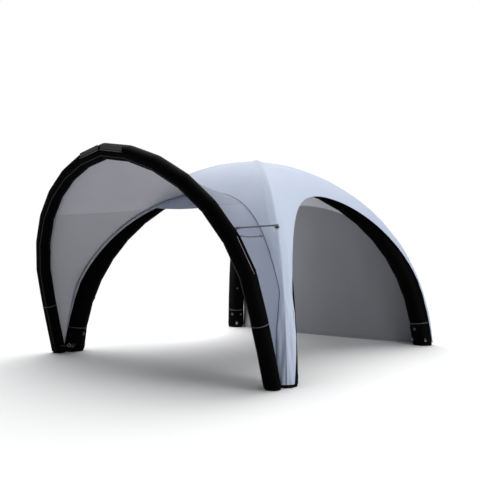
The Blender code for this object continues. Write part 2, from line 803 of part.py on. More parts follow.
def leg_fittings(name, corner):
    flat = BEAM_RADIUS * math.cos(math.pi / BEAM_SIDES) + TOUCH
    for side, degrees in (("a", 180 - VALVE_ANGLE), ("b", 180 + VALVE_ANGLE)):
        point, out = on_leg(VALVE_HEIGHT, corner, degrees, flat)
        profile = (
            (0, 0), (VALVE_RADIUS - VALVE_EDGE, 0), (VALVE_RADIUS, VALVE_EDGE),
            (VALVE_RADIUS, VALVE_DEPTH - VALVE_EDGE), (VALVE_RADIUS - VALVE_EDGE, VALVE_DEPTH),
            (0, VALVE_DEPTH),
        )
        finish("valve_%s_%s" % (name, side), turned(profile, facing(point, out)), VALVE_PLASTIC)
    point, out = on_leg(EYELET_HEIGHT, corner, 180, BEAM_RADIUS + TOUCH)
    profile = (
        (EYELET_HOLE, 0), (EYELET_RADIUS, 0), (EYELET_RADIUS, EYELET_DEPTH / 2),
        ((EYELET_HOLE + EYELET_RADIUS) / 2, EYELET_DEPTH), (EYELET_HOLE, EYELET_DEPTH / 2),
    )
    finish("eyelet_" + name, turned(profile, facing(point, out)), EYELET_METAL)


def bracket_profile():
    """A round plate, a neck and a ball, from the surface that it lies on outwards."""
    points = [
        (0, 0), (BRACKET_RADIUS - BRACKET_LIP, 0), (BRACKET_RADIUS, BRACKET_RIM),
        (BRACKET_RADIUS - 3 * BRACKET_LIP, BRACKET_PLATE), (BRACKET_NECK, BRACKET_PLATE + BRACKET_RIM),
    ]
    for degrees in range(-50, 90, 20):
        angle = math.radians(degrees)
        points.append((BALL_RADIUS * math.cos(angle), BALL_STAND + BALL_RADIUS * math.sin(angle)))
    points.append((0, BALL_STAND + BALL_RADIUS))
    return points


def ridge_seat(height):
    """A point at a height on the ridge over the front right leg, and the way out of it there."""
    rows = canopy_rows()
    for low, high in zip(rows, rows[1:]):
        start, stop = ridge(low)[0], ridge(high)[0]
        if height <= stop.y:
            break
    way = (stop - start).normalized()
    place = start.lerp(stop, (height - start.y) / (stop.y - start.y))
    out = Vector((1, -1, 0)).normalized()
    up = Vector((0, 0, 1))
    return out * place.x + up * place.y, out * way.y - up * way.x


def strut(name, mirror):
    """A strut from the outside of the arch to the ridge over a front leg, with its two brackets."""
    seat, ridge_way = ridge_seat(STRUT_DOME_HEIGHT)
    seat += ridge_way * 2 * TOUCH
    arch_centre, out = arch_at(arch_share_at_height(STRUT_ARCH_HEIGHT))
    angle = math.radians(STRUT_ARCH_ANGLE)
    arch_way = ARCH_REAR * math.cos(angle) + out * math.sin(angle)
    arch_seat = arch_centre + arch_way * (ARCH_RADIUS * math.cos(math.pi / BEAM_SIDES) + TOUCH)
    balls = (seat + ridge_way * BALL_STAND, arch_seat + arch_way * BALL_STAND)
    way = (balls[1] - balls[0]).normalized()
    start = balls[0] + way * (BALL_RADIUS + TOUCH)
    length = (balls[1] - balls[0]).length - 2 * (BALL_RADIUS + TOUCH)
    flip = MIRROR_X if mirror else Matrix.Identity(4)
    rod = ((0, 0), (STRUT_RADIUS, 0), (STRUT_RADIUS, length), (0, length))
    parts = (
        ("strut_dome_bracket_", bracket_profile(), facing(seat, ridge_way)),
        ("strut_arch_bracket_", bracket_profile(), facing(arch_seat, arch_way)),
        ("strut_", rod, facing(start, way)),
    )
    for title, profile, place in parts:
        finish(title + name, turned(profile, flip @ place), STRUT_METAL)


for side, turn in SIDES.items():
    side_of_canopy("canopy_" + side, turn)
crown()
for corner_name, corner in CORNERS.items():
    leg(corner_name, corner)
    sole("sole_" + corner_name, leg_frame(0, corner)[0], LEG_SOLE_RADIUS)
    leg_straps(corner_name, corner)
    leg_fittings(corner_name, corner)
awning_arch()
awning_panel("awning_roof", -SEAM_SHARE + SEAM_GAP, SEAM_SHARE - SEAM_GAP)
awning_panel("awning_side_right", SEAM_SHARE + SEAM_GAP, AWNING_FOOT_SHARE)
awning_panel("awning_side_left", -AWNING_FOOT_SHARE, -SEAM_SHARE - SEAM_GAP)
back_wall()
front_valance()
for hand, mirror in (("right", False), ("left", True)):
    foot = arch_at(1.0)[0]
    sole("arch_sole_" + hand, MIRROR_X @ foot if mirror else foot, ARCH_SOLE_RADIUS)
    arch_strap(hand, mirror)
    strut(hand, mirror)

# The tent is shifted so that the origin is the middle of its footprint
bpy.context.view_layer.update()
depths = [
    (made.matrix_world @ vertex.co).y
    for made in bpy.data.objects if made.type == "MESH" and not made.hide_render
    for vertex in made.data.vertices
]
tent.location.y = -(min(depths) + max(depths)) / 2
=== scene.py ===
import math
import random

import bmesh
import bpy
from mathutils import Matrix, Vector, noise


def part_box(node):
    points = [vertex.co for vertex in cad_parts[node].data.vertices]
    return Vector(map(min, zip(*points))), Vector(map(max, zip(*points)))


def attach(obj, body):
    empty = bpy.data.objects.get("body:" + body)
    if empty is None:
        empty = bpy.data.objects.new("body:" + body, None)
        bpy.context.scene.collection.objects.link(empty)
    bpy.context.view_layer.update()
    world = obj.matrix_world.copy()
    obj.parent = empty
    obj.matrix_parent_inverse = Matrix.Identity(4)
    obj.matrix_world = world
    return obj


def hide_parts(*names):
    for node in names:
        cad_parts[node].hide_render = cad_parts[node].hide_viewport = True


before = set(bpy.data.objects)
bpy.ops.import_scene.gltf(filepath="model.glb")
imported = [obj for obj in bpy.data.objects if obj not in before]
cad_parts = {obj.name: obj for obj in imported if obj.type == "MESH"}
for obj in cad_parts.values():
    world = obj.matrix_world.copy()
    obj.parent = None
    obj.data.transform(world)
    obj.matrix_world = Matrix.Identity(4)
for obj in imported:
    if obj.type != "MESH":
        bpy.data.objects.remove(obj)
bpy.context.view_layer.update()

print("frame loaded:", len(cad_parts), "nodes")

# Sizes are metres. The tent's own middle, under the crown, is where its curves are worked out.

crownLow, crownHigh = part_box("crown")
tentMiddle = Vector((0, (crownLow.y + crownHigh.y) / 2, 0))
root2 = math.sqrt(2)
up = Vector((0, 0, 1))
mirrorX = Matrix.Diagonal((-1, 1, 1, 1))
corners = {"front_right": -45, "back_right": 45, "back_left": 135, "front_left": 225}
sharpAngle = math.radians(40)


def evenly(count):
    # shares from 0 to 1 in equal steps
    return [k / count for k in range(count + 1)]


def moved(bm, place):
    bmesh.ops.transform(bm, matrix=place, verts=bm.verts)
    return bm


def mirrored(bm):
    # the same shape on the tent's left, with its faces still outwards
    moved(bm, mirrorX)
    bmesh.ops.recalc_face_normals(bm, faces=bm.faces)
    return bm


def turnZ(degrees):
    return Matrix.Rotation(math.radians(degrees), 4, "Z")


def joined(parts):
    # several bmeshes as one
    whole = bmesh.new()
    for bm in parts:
        spare = bpy.data.meshes.new("spare")
        bm.to_mesh(spare)
        bm.free()
        whole.from_mesh(spare)
        bpy.data.meshes.remove(spare)
    return whole


def smoothed(mesh):
    mesh.shade_smooth()
    mesh.set_sharp_from_angle(angle=sharpAngle)


def finishPiece(name, parts, materials, slotName, nodes=()):
    # joins bmeshes in their place into a shown piece that stands for its CAD nodes
    bm = moved(joined(parts), Matrix.Translation(tentMiddle))
    mesh = bpy.data.meshes.new(name)
    bm.to_mesh(mesh)
    bm.free()
    for material in materials:
        mesh.materials.append(paint[material])
    smoothed(mesh)
    piece = bpy.data.objects.new(name, mesh)
    bpy.context.scene.collection.objects.link(piece)
    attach(piece, "root")
    if nodes:
        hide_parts(*nodes)
    return piece


def giveThickness(piece, thickness, offset, lining=0):
    # makes a sheet as thick as cloth: inwards at -1, outwards at 1; lining is its inner material
    thick = piece.modifiers.new("cloth", "SOLIDIFY")
    thick.thickness = thickness
    thick.offset = offset
    thick.material_offset = lining


def weld(bm, distance=0.0002):
    bmesh.ops.remove_doubles(bm, verts=bm.verts, dist=distance)
    bmesh.ops.recalc_face_normals(bm, faces=bm.faces)


def clothGrid(wide, deep):
    # a grid from -0.5 to 0.5 both ways, to be laid out as cloth
    bm = bmesh.new()
    bmesh.ops.create_grid(bm, x_segments=wide, y_segments=deep, size=0.5)
    return bm


def sweep(profile, places, caps=True):
    # pulls a small closed outline through a row of placing matrices; returns its rings too
    bm = bmesh.new()
    ring = [bm.verts.new(places[0] @ Vector((x, y, 0))) for x, y in profile]
    edges = [bm.edges.new(pair) for pair in zip(ring, ring[1:] + ring[:1])]
    first = list(edges)
    rings = [ring]
    for before, place in zip(places, places[1:]):
        made = bmesh.ops.extrude_edge_only(bm, edges=edges)["geom"]
        ring = [part for part in made if isinstance(part, bmesh.types.BMVert)]
        fresh = set(ring)
        edges = [
            part for part in made
            if isinstance(part, bmesh.types.BMEdge) and all(v in fresh for v in part.verts)
        ]
        bmesh.ops.transform(bm, matrix=place @ before.inverted(), verts=ring)
        rings.append(ring)
    if caps:
        for loop in (first, edges):
            bmesh.ops.edgenet_fill(bm, edges=loop)
    bmesh.ops.recalc_face_normals(bm, faces=bm.faces)
    return bm, rings


def frameOf(point, xWay, yWay, zWay):
    # the matrix with these columns, which puts an outline's X and Y along two ways at a point
    place = Matrix.Identity(4)
    for column, way in enumerate((xWay, yWay, zWay, point)):
        for row in range(3):
            place[row][column] = way[row]
    return place


def circle(radius, sides):
    turns = [2 * math.pi * k / sides for k in range(sides)]
    return [(radius * math.cos(turn), radius * math.sin(turn)) for turn in turns]


def facing(point, normal):
    return Matrix.Translation(point) @ normal.to_track_quat("Z", "Y").to_matrix().to_4x4()


def turned(outline, sides):
    # a round piece about Z, from (radius, height) points that run along its surface
    bm = bmesh.new()
    points = [bm.verts.new((radius, 0, height)) for radius, height in outline]
    edges = [bm.edges.new(pair) for pair in zip(points, points[1:])]
    if outline[0][0] > 0:
        edges.append(bm.edges.new((points[-1], points[0])))
    bmesh.ops.spin(
        bm, geom=points + edges, cent=(0, 0, 0), axis=(0, 0, 1), angle=2 * math.pi,
        steps=sides, use_merge=True,
    )
    weld(bm, 0.00001)
    return bm


def boxAt(place, size, edge):
    bm = bmesh.new()
    bmesh.ops.create_cube(bm, size=1, matrix=place @ Matrix.Diagonal((*size, 1)))
    bmesh.ops.bevel(
        bm, geom=list(bm.edges), offset=edge, segments=2, profile=0.5, affect="EDGES", material=-1,
    )
    return bm


# Materials


def feed(tree, sockets, values):
    # sets each named input to a constant, or links it to another node's output
    for key, value in values.items():
        if isinstance(value, bpy.types.NodeSocket):
            tree.links.new(value, sockets[key])
        else:
            sockets[key].default_value = value


def addNode(tree, kind, inputs=None, **settings):
    node = tree.nodes.new("ShaderNode" + kind)
    for title, value in settings.items():
        setattr(node, title, value)
    feed(tree, node.inputs, inputs or {})
    return node.outputs


def mathNode(tree, operation, *values):
    return addNode(tree, "Math", dict(enumerate(values)), operation=operation)[0]


def newGroup(name, inputs, outputs):
    # a node group from its inputs' default values, None for a vector, and its outputs' names
    tree = bpy.data.node_groups.new(name, "ShaderNodeTree")
    for title, value in inputs.items():
        kind = "NodeSocketVector" if value is None else "NodeSocketFloat"
        socket = tree.interface.new_socket(title, in_out="INPUT", socket_type=kind)
        if value is not None:
            socket.default_value = value
    for title in outputs:
        tree.interface.new_socket(title, in_out="OUTPUT", socket_type="NodeSocketFloat")
    into, out = tree.nodes.new("NodeGroupInput"), tree.nodes.new("NodeGroupOutput")
    return tree, into.outputs, out.inputs


def makeWeave():
    # crossed threads, with a height for a bump; Thread is the spacing in metres
    tree, into, out = newGroup("plainWeave", {"Vector": None, "Thread": 0.002}, ["Height"])
    split = addNode(tree, "SeparateXYZ", {0: into["Vector"]})
    waves = []
    for axis in "XYZ":
        turns = mathNode(tree, "DIVIDE", split[axis], into["Thread"])
        waves.append(mathNode(tree, "SINE", mathNode(tree, "MULTIPLY", turns, 2 * math.pi)))
    crossed = mathNode(tree, "MULTIPLY", waves[0], waves[1])
    crossed = mathNode(tree, "MULTIPLY_ADD", waves[1], waves[2], crossed)
    crossed = mathNode(tree, "MULTIPLY_ADD", waves[2], waves[0], crossed)
    feed(tree, out, {"Height": mathNode(tree, "MULTIPLY_ADD", crossed, 0.3, 0.5)})
    return tree


def makeCreases():
    # broad soft creases: a height and a tone that drift over the cloth
    inputs = {"Vector": None, "Size": 0.5, "Stretch": 3.0}
    tree, into, out = newGroup("softCreases", inputs, ["Height", "Tone"])
    split = addNode(tree, "SeparateXYZ", {0: into["Vector"]})
    flatZ = mathNode(tree, "DIVIDE", split["Z"], into["Stretch"])
    place = addNode(tree, "CombineXYZ", {"X": split["X"], "Y": split["Y"], "Z": flatZ})[0]
    scale = mathNode(tree, "DIVIDE", 1.0, into["Size"])
    for title, detail, factor in (("Height", 3.0, 1.0), ("Tone", 2.0, 0.35)):
        finer = mathNode(tree, "MULTIPLY", scale, factor)
        texture = addNode(tree, "TexNoise", {"Detail": detail, "Vector": place, "Scale": finer})
        feed(tree, out, {title: texture["Fac"]})
    return tree


weaveGroup = makeWeave()
creaseGroup = makeCreases()
shading = {"driftFrom": 0.35, "driftTo": 0.65, "clothSpread": 0.06, "hardSpread": 0.08}


def newMaterial(name):
    material = bpy.data.materials.new(name)
    material.use_nodes = True
    return material, material.node_tree, material.node_tree.nodes["Principled BSDF"].inputs


def twoTones(tree, factor, dark, light):
    tones = {"Factor": factor, "A": (*dark, 1), "B": (*light, 1)}
    return addNode(tree, "Mix", tones, data_type="RGBA")["Result"]


def roughAbout(tree, value, middle, spread):
    ends = {"Value": value, "To Min": middle - spread, "To Max": middle + spread}
    return addNode(tree, "MapRange", ends)["Result"]


def clothMaterial(name, look):
    # woven cloth: two tones that drift, soft creases and a fine weave
    material, tree, shader = newMaterial(name)
    place = addNode(tree, "TexCoord")["Object"]
    broad = {"Vector": place, "Size": look["creaseSize"], "Stretch": look["creaseStretch"]}
    fine = {"Vector": place, "Thread": look["thread"]}
    crease = addNode(tree, "Group", broad, node_tree=creaseGroup)
    weave = addNode(tree, "Group", fine, node_tree=weaveGroup)
    drift = addNode(tree, "MapRange", {
        "Value": crease["Tone"], "From Min": shading["driftFrom"], "From Max": shading["driftTo"],
    })
    threads = mathNode(tree, "MULTIPLY", weave["Height"], look["weaveDepth"])
    folds = mathNode(tree, "MULTIPLY_ADD", crease["Height"], look["creaseDepth"], threads)
    bump = addNode(tree, "Bump", {"Strength": 1.0, "Distance": 1.0, "Height": folds})
    feed(tree, shader, {
        "Base Color": twoTones(tree, drift["Result"], look["dark"], look["light"]),
        "Roughness": roughAbout(tree, crease["Height"], look["roughness"], shading["clothSpread"]),
        "Normal": bump["Normal"], "Sheen Weight": look["sheen"], "Specular IOR Level": look["gloss"],
    })
    return material


def hardMaterial(name, look):
    # moulded plastic or metal with faint unevenness in its gloss
    material, tree, shader = newMaterial(name)
    place = addNode(tree, "TexCoord")["Object"]
    speckle = {"Scale": look["grain"], "Detail": 4.0, "Vector": place}
    grain = addNode(tree, "TexNoise", speckle)["Fac"]
    feed(tree, shader, {
        "Base Color": twoTones(tree, grain, look["dark"], look["light"]),
        "Roughness": roughAbout(tree, grain, look["roughness"], shading["hardSpread"]),
        "Metallic": look["metallic"],
    })
    return material


canopyLook = {
    "light": (0.47, 0.53, 0.65), "dark": (0.44, 0.50, 0.62), "roughness": 0.62, "sheen": 0.05,
    "gloss": 0.3, "creaseSize": 0.45, "creaseStretch": 3.0, "creaseDepth": 0.006,
    "thread": 0.0025, "weaveDepth": 0.00008,
}
tapeLook = dict(canopyLook, creaseDepth=0.001)
beamLook = dict(
    canopyLook, light=(0.0012, 0.0012, 0.0014), dark=(0.0007, 0.0007, 0.0009), roughness=0.55,
    creaseDepth=0.004, creaseSize=0.25, sheen=0.0, gloss=0.02,
)
webbingLook = dict(canopyLook, light=(0.09, 0.09, 0.10), dark=(0.07, 0.07, 0.08), thread=0.003)
darkest = {"light": (0.008, 0.008, 0.008), "dark": (0.004, 0.004, 0.004)}
clothLooks = {
    "canopyCloth": canopyLook,
    "liningCloth": dict(canopyLook, light=(0.64, 0.645, 0.69), dark=(0.60, 0.605, 0.65)),
    # the awning's outside is the canopy's cloth with painted shade: darkest on the roof, a little
    # lighter on the sides
    "awningRoofShadedCloth": dict(canopyLook, light=(0.148, 0.17, 0.23), dark=(0.133, 0.155, 0.215)),
    "awningSideShadedCloth": dict(canopyLook, light=(0.18, 0.205, 0.272), dark=(0.165, 0.19, 0.257)),
    # the lining of the awning's sides is the lining's colour with painted shade, darker than the roof's
    # underside
    "awningSideShadedLining": dict(canopyLook, light=(0.54, 0.545, 0.58), dark=(0.50, 0.505, 0.54)),
    "wallCloth": dict(
        canopyLook, light=(0.265, 0.268, 0.29), dark=(0.235, 0.238, 0.26), creaseDepth=0.004,
    ),
    "seamTape": dict(tapeLook, light=(0.125, 0.14, 0.19), dark=(0.11, 0.125, 0.175)),
    "bindingCloth": dict(tapeLook, light=(0.45, 0.51, 0.63), dark=(0.42, 0.48, 0.60)),
    "beamCloth": beamLook,
    "soleRubber": dict(beamLook, roughness=0.8, **darkest),
    "webbing": webbingLook,
    # dark webbing of the awning ties, which also stands for the strut's painted shadow on the awning
    "tieAndShadowWebbing": dict(webbingLook, light=(0.075, 0.08, 0.10), dark=(0.06, 0.065, 0.085)),
    "patchWebbing": dict(webbingLook, light=(0.05, 0.05, 0.055), dark=(0.035, 0.035, 0.04)),
    "pipingCloth": dict(webbingLook, light=(0.034, 0.034, 0.037), dark=(0.026, 0.026, 0.029)),
    # the crown flaps' cloth: a real flap in a lighter grey than the sleeve, partly a painted highlight
    # for the crown's lit top
    "flapHighlightCloth": dict(webbingLook, light=(0.058, 0.058, 0.060), dark=(0.045, 0.045, 0.047)),
    "linkWebbing": dict(webbingLook, **darkest),
}
hardLooks = {
    "valvePlastic": {
        "light": (0.05, 0.05, 0.055), "dark": (0.035, 0.035, 0.04), "roughness": 0.4,
        "metallic": 0.0, "grain": 60.0,
    },
    "eyeletMetal": {
        "light": (0.62, 0.62, 0.64), "dark": (0.5, 0.5, 0.52), "roughness": 0.35,
        "metallic": 1.0, "grain": 80.0,
    },
    "zipPlastic": {
        "light": (0.22, 0.22, 0.235), "dark": (0.16, 0.16, 0.175), "roughness": 0.45,
        "metallic": 0.0, "grain": 60.0,
    },
    "strutMetal": {
        "light": (0.11, 0.12, 0.14), "dark": (0.08, 0.09, 0.11), "roughness": 0.42,
        "metallic": 0.7, "grain": 40.0,
    },
}
paint = {name: clothMaterial(name, look) for name, look in clothLooks.items()}
for name, look in hardLooks.items():
    paint[name] = hardMaterial(name, look)
print("materials ready")

# The canopy's line over a leg, in the upright plane through the tent's diagonal

canopy = {
    "legPlace": 2.31, "reach": 0.188, "top": 3.464, "lean": 0.144, "lowPull": 2.326,
    "highPull": 1.489, "peakDrop": 0.067, "hemHalfWidth": 2.356, "hemHeight": 2.724,
    "hemFoot": 0.046, "footAngle": 89, "hemFullness": 2.08, "flare": 0.067, "flareTop": 1.22,
    "cloth": 0.003, "hemRows": 84, "topRows": 30, "columns": 34, "roundShare": 0.3,
    "bendShare": 0.8, "foldDepth": 0.013, "foldTop": 2.7, "foldGrain": (20, 20, 1.1),
    "foldRise": 0.35, "drift": 0.004, "driftGrain": (1.8, 1.8, 1.2),
    "driftShift": (0, 0, 7), "driftRise": 0.4, "crease": 0.013, "creaseWide": 0.06,
    "creaseFade": 0.6, "bracketHeight": 2.13, "bracketPress": 0.14, "flat": (6.9, 6.9),
    "flatArea": 18.0,
}
ridgeFoot = root2 * canopy["legPlace"] + canopy["reach"]
ridgeLine = (
    Vector((ridgeFoot, 0)), Vector((ridgeFoot - canopy["lean"], canopy["lowPull"])),
    Vector((canopy["highPull"], canopy["top"] - canopy["peakDrop"])), Vector((0, canopy["top"])),
)
ridgeSteps = {"search": 50, "measure": 2000}


def ridge(t):
    a, b, c, d = ridgeLine
    s = 1 - t
    point = s ** 3 * a + 3 * s * s * t * b + 3 * s * t * t * c + t ** 3 * d
    way = s * s * (b - a) + 2 * s * t * (c - b) + t * t * (d - c)
    return point, way.normalized()


def section(t):
    # the leg's axis, the way out over its ridge and the way out of the flat beside it
    point, way = ridge(t)
    ridgeOut = Vector((way.y, -way.x))
    sideOut = Vector((way.y, -way.x / root2)).normalized()
    return point - canopy["reach"] * ridgeOut, ridgeOut, sideOut


def ridgeHeight(t):
    return ridge(t)[0].y


def flatHeight(t):
    axis, _, sideOut = section(t)
    return axis.y + canopy["reach"] * sideOut.y


def placeAtHeight(height, heightOf=flatHeight):
    low, high = 0.0, 1.0
    for _ in range(ridgeSteps["search"]):
        middle = (low + high) / 2
        if heightOf(middle) < height:
            low = middle
        else:
            high = middle
    return (low + high) / 2


def sharePlaces(count, start=0.0):
    # places that part the ridge, from a start to the apex, into equal lengths
    steps = ridgeSteps["measure"]
    points = [ridge(start + (1 - start) * i / steps)[0] for i in range(steps + 1)]
    run = [0.0]
    for a, b in zip(points, points[1:]):
        run.append(run[-1] + (b - a).length)
    found = []
    i = 0
    for k in range(count + 1):
        while i < steps and run[i] < run[-1] * k / count:
            i += 1
        found.append(start + (1 - start) * i / steps)
    return found


hemTop = placeAtHeight(canopy["hemHeight"])


def hemPlace(k):
    # the place of one of the cover's rows, from the opening's foot to its top
    angle = math.radians(canopy["footAngle"] * (1 - k / canopy["hemRows"]))
    return placeAtHeight(canopy["hemHeight"] * math.cos(angle))


def legFlare(t):
    # how much further round a leg the cover reaches, low down
    share = min(max(flatHeight(t), 0.0) / canopy["flareTop"], 1.0)
    return canopy["flare"] * math.sin(math.pi * share)


def hemShare(share):
    # width of the opening at a share of its height, against its width at the ground
    fullness = canopy["hemFullness"]
    return (1 - min(max(share, 0.0), 1.0) ** fullness) ** (1 / fullness)


def hemHalfWidth(t):
    if t >= hemTop:
        return 0.0
    share = hemShare(flatHeight(t) / canopy["hemHeight"])
    return canopy["hemHalfWidth"] * share - legFlare(t)


def turnWays(t):
    # the way out over the ridge and out of the flat, and how far the cover turns between them
    _, ridgeOut, sideOut = section(t)
    start = Vector((ridgeOut.x / root2, -ridgeOut.x / root2, ridgeOut.y))
    end = Vector((sideOut.x, 0, sideOut.y))
    return start, end, canopy["reach"] * start.angle(end)


def lengthTo(t, halfWidth):
    # how far round the cover it is from the ridge to a half width of the opening
    return turnWays(t)[2] + section(t)[0].x / root2 - halfWidth


def canopyPoint(t, along):
    # a point of the right side's front half, this far along from the ridge, and its way out
    axis = section(t)[0]
    out = axis.x / root2
    start, normal, bend = turnWays(t)
    y = -out + along - bend
    if along < bend:
        normal = start.slerp(normal, along / bend)
        y = -out
    return Vector((out, y, axis.y)) + canopy["reach"] * normal, normal


def clothFold(point, along):
    # how far the cover stands out: upright folds, faint drift and the crease of the ridge's seam,
    # which the strut's plate presses flat
    low = max(0.0, 1 - point.z / canopy["foldTop"])
    upright = noise.noise(Vector(canopy["foldGrain"]) * point)
    broad = noise.noise(Vector(canopy["driftGrain"]) * point + Vector(canopy["driftShift"]))
    folds = canopy["foldDepth"] * low * max(upright + canopy["foldRise"], 0)
    folds += canopy["drift"] * max(broad + canopy["driftRise"], 0)
    fade = min(1.0, point.xy.length / canopy["creaseFade"])
    press = min(1.0, abs(point.z - canopy["bracketHeight"]) / canopy["bracketPress"])
    return folds + canopy["crease"] * fade * press * max(0.0, 1 - along / canopy["creaseWide"])


def onCover(t, along):
    # a point of the folded cover and its way out
    point, normal = canopyPoint(t, along)
    return point + normal * clothFold(point, along), normal


def canopySheet():
    rows = [hemPlace(k) for k in range(canopy["hemRows"])]
    rows += sharePlaces(canopy["topRows"], hemTop)
    count = len(rows) - 1
    wide, roundShare = canopy["columns"], canopy["roundShare"]
    bm = clothGrid(wide, count)
    for vertex in bm.verts:
        row = round((vertex.co.y + 0.5) * count)
        across = vertex.co.x + 0.5
        t = rows[row]
        full = lengthTo(t, hemHalfWidth(t))
        bend = min(turnWays(t)[2], canopy["bendShare"] * full)
        if across < roundShare:
            along = bend * across / roundShare
        else:
            along = bend + (full - bend) * (across - roundShare) / (1 - roundShare)
        point, normal = canopyPoint(t, along)
        if row == 0:
            higher = canopyPoint(rows[1], along)[0]
            point += (higher - point) * ((canopy["hemFoot"] - point.z) / (higher.z - point.z))
        if t >= hemTop and round(across * wide) == wide:
            point.y = 0
        if row == count:
            point = Vector((0, 0, canopy["top"]))
        vertex.co = point + normal * clothFold(point, along)
    half = list(bm.verts) + list(bm.edges) + list(bm.faces)
    bmesh.ops.mirror(bm, geom=half, axis="Y", merge_dist=0.0001)
    bmesh.ops.spin(
        bm, geom=list(bm.verts) + list(bm.edges) + list(bm.faces), cent=(0, 0, 0),
        axis=(0, 0, 1), angle=2 * math.pi, steps=4, use_duplicate=True,
    )
    weld(bm)
    sides = ["canopy_" + side for side in ("right", "back", "left", "front")]
    cloths = ["canopyCloth", "liningCloth"]
    piece = finishPiece("canopy_cover", [bm], cloths, "canopy_cloth", sides)
    giveThickness(piece, canopy["cloth"], -1, 1)
    return piece


canopyCover = canopySheet()
print("canopy sewn:", len(canopyCover.data.polygons), "faces")

# Air beams: round sleeves sewn from straight lengths, pinched a little at each seam

beam = {
    "clear": 0.0012, "fabric": 0.006, "sides": 56, "lengths": 11, "crownStart": 10,
    "soleTop": 0.0303, "pinch": 0.014, "pinchReach": 0.03, "full": 0.004, "puckers": 15,
    "finePuckers": 23, "fineShare": 0.6, "puckerDepth": 0.0011, "puckerReach": 0.12,
    "puckerShift": 6.28, "cutRings": 9, "cutSpace": 0.002,
    "steps": (0.0, 0.012, 0.03, 0.07, 0.14, 0.28, 0.5, 0.72, 0.86, 0.93, 0.97, 0.988),
    "seeds": {"legs": 20, "crown": 40, "arch": 60},
}
beam["radius"] = canopy["reach"] - beam["fabric"] - beam["clear"]


def swellAt(share):
    # how much fuller a sleeve is at a share of the way between two seams
    return beam["full"] * math.sin(math.pi * min(share, 1 - share)) ** 2


def legFrame(t, corner):
    # a leg's axis point and its ways out over the ridge, sideways and along
    axis, ridgeOut, _ = section(t)
    out = Vector((math.cos(math.radians(corner)), math.sin(math.radians(corner)), 0))
    ridgeWay = out * ridgeOut.x + up * ridgeOut.y
    sideWay = up.cross(out)
    return frameOf(out * axis.x + up * axis.y, ridgeWay, sideWay, ridgeWay.cross(sideWay))


def sleevePlaces(joints):
    # placing matrices along a sleeve, and how far each lies from the nearest seam, in lengths
    places = []
    for low, high in zip(joints, joints[1:]):
        for step in beam["steps"]:
            places.append((low * (1 - step) + high * step, min(step, 1 - step)))
    places.append((joints[-1], 0.0))
    return places


def sleeve(joints, radius, seed):
    # a sleeve through its seams, fuller between them, with small puckers beside each seam
    draw = random.Random(seed)
    places = sleevePlaces(joints)
    bm, rings = sweep(circle(radius, beam["sides"]), [place for place, _ in places])
    perSeam = len(beam["steps"])
    phase = 0.0
    for k, ((place, seamSpace), ring) in enumerate(zip(places, rings)):
        if k % perSeam == perSeam // 2:
            phase = draw.uniform(0, beam["puckerShift"])
        fullness = 1 - math.exp(-seamSpace / beam["pinchReach"])
        near = math.exp(-seamSpace / beam["puckerReach"]) * fullness
        back = place.inverted()
        for vertex in ring:
            local = back @ vertex.co
            angle = math.atan2(local.y, local.x)
            ripple = math.sin(beam["puckers"] * angle + phase)
            ripple += beam["fineShare"] * math.sin(beam["finePuckers"] * angle + 2 * phase)
            size = 1 - beam["pinch"] * (1 - fullness) + swellAt(seamSpace)
            size += beam["puckerDepth"] * near * ripple / radius
            vertex.co = place @ Vector((local.x * size, local.y * size, local.z))
    return bm, rings


def cutLevel(rings, height):
    # slides the lowest rings along the sleeve, so that its end lies level at a height
    for column in zip(*rings[:beam["cutRings"]]):
        above = 1
        while column[above].co.z < height + beam["cutSpace"] * above:
            above += 1
        low, high = column[above - 1].co, column[above].co.copy()
        way = high - low
        foot = high + way * ((height - high.z) / way.z)
        for k in range(above):
            column[k].co = foot.lerp(high, k / above)


legJoints = sharePlaces(beam["lengths"])
for number, (cornerName, corner) in enumerate(corners.items()):
    joints = [legFrame(t, corner) for t in legJoints[: beam["crownStart"] + 1]]
    legBm, legRings = sleeve(joints, beam["radius"], beam["seeds"]["legs"] + number)
    cutLevel(legRings, beam["soleTop"])
    finishPiece("leg_beam_" + cornerName, [legBm], ["beamCloth"], "beam_cloth", ["leg_" + cornerName])


def crownBeams():
    # the two beams cross over the middle, each from one leg's top to the other's
    end = legJoints[beam["crownStart"]]
    made = []
    for number, corner in enumerate((-45, 45)):
        near, far = legFrame(end, corner), legFrame(end, corner + 180)
        far = frameOf(far.translation, far.col[0].xyz, -far.col[1].xyz, -far.col[2].xyz)
        side = near.col[1].xyz
        middle = frameOf(up * section(1.0)[0].y, up, side, up.cross(side))
        bm, _ = sleeve([near, middle, far], beam["radius"], beam["seeds"]["crown"] + corner)
        made.append(finishPiece("crown_beam_%d" % number, [bm], ["beamCloth"], "beam_cloth"))
    first, second = made
    join = first.modifiers.new("crossing", "BOOLEAN")
    join.operation = "UNION"
    join.object = second
    shown = bpy.context.evaluated_depsgraph_get()
    fused = bpy.data.meshes.new_from_object(first.evaluated_get(shown))
    first.modifiers.clear()
    first.data = fused
    first.name = "crown_beams"
    bpy.data.objects.remove(second, do_unlink=True)
    smoothed(fused)
    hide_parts("crown")


crownBeams()
print("legs and crown filled")

# Awning arch

arch = {
    "radius": 0.115, "length": 0.51, "slopes": (10, 21, 32, 44, 57, 70, 84, 87, 88),
    "tilt": math.radians(14.9), "footY": -2.60, "soleTop": 0.0303, "atJoint": 0.01,
    "atCrown": 0.001,
}
archCount = len(arch["slopes"])
archRear = Vector((0, math.cos(arch["tilt"]), math.sin(arch["tilt"])))


def archPlace(across, slant):
    y = arch["footY"] - slant * math.sin(arch["tilt"])
    return Vector((across, y, slant * math.cos(arch["tilt"])))


def archHalf():
    falls = [math.radians(slope) for slope in arch["slopes"]]
    points = [Vector((0, arch["length"] * sum(math.sin(fall) for fall in falls)))]
    for fall in falls:
        points.append(points[-1] + arch["length"] * Vector((math.cos(fall), -math.sin(fall))))
    return points


archBends = archHalf()


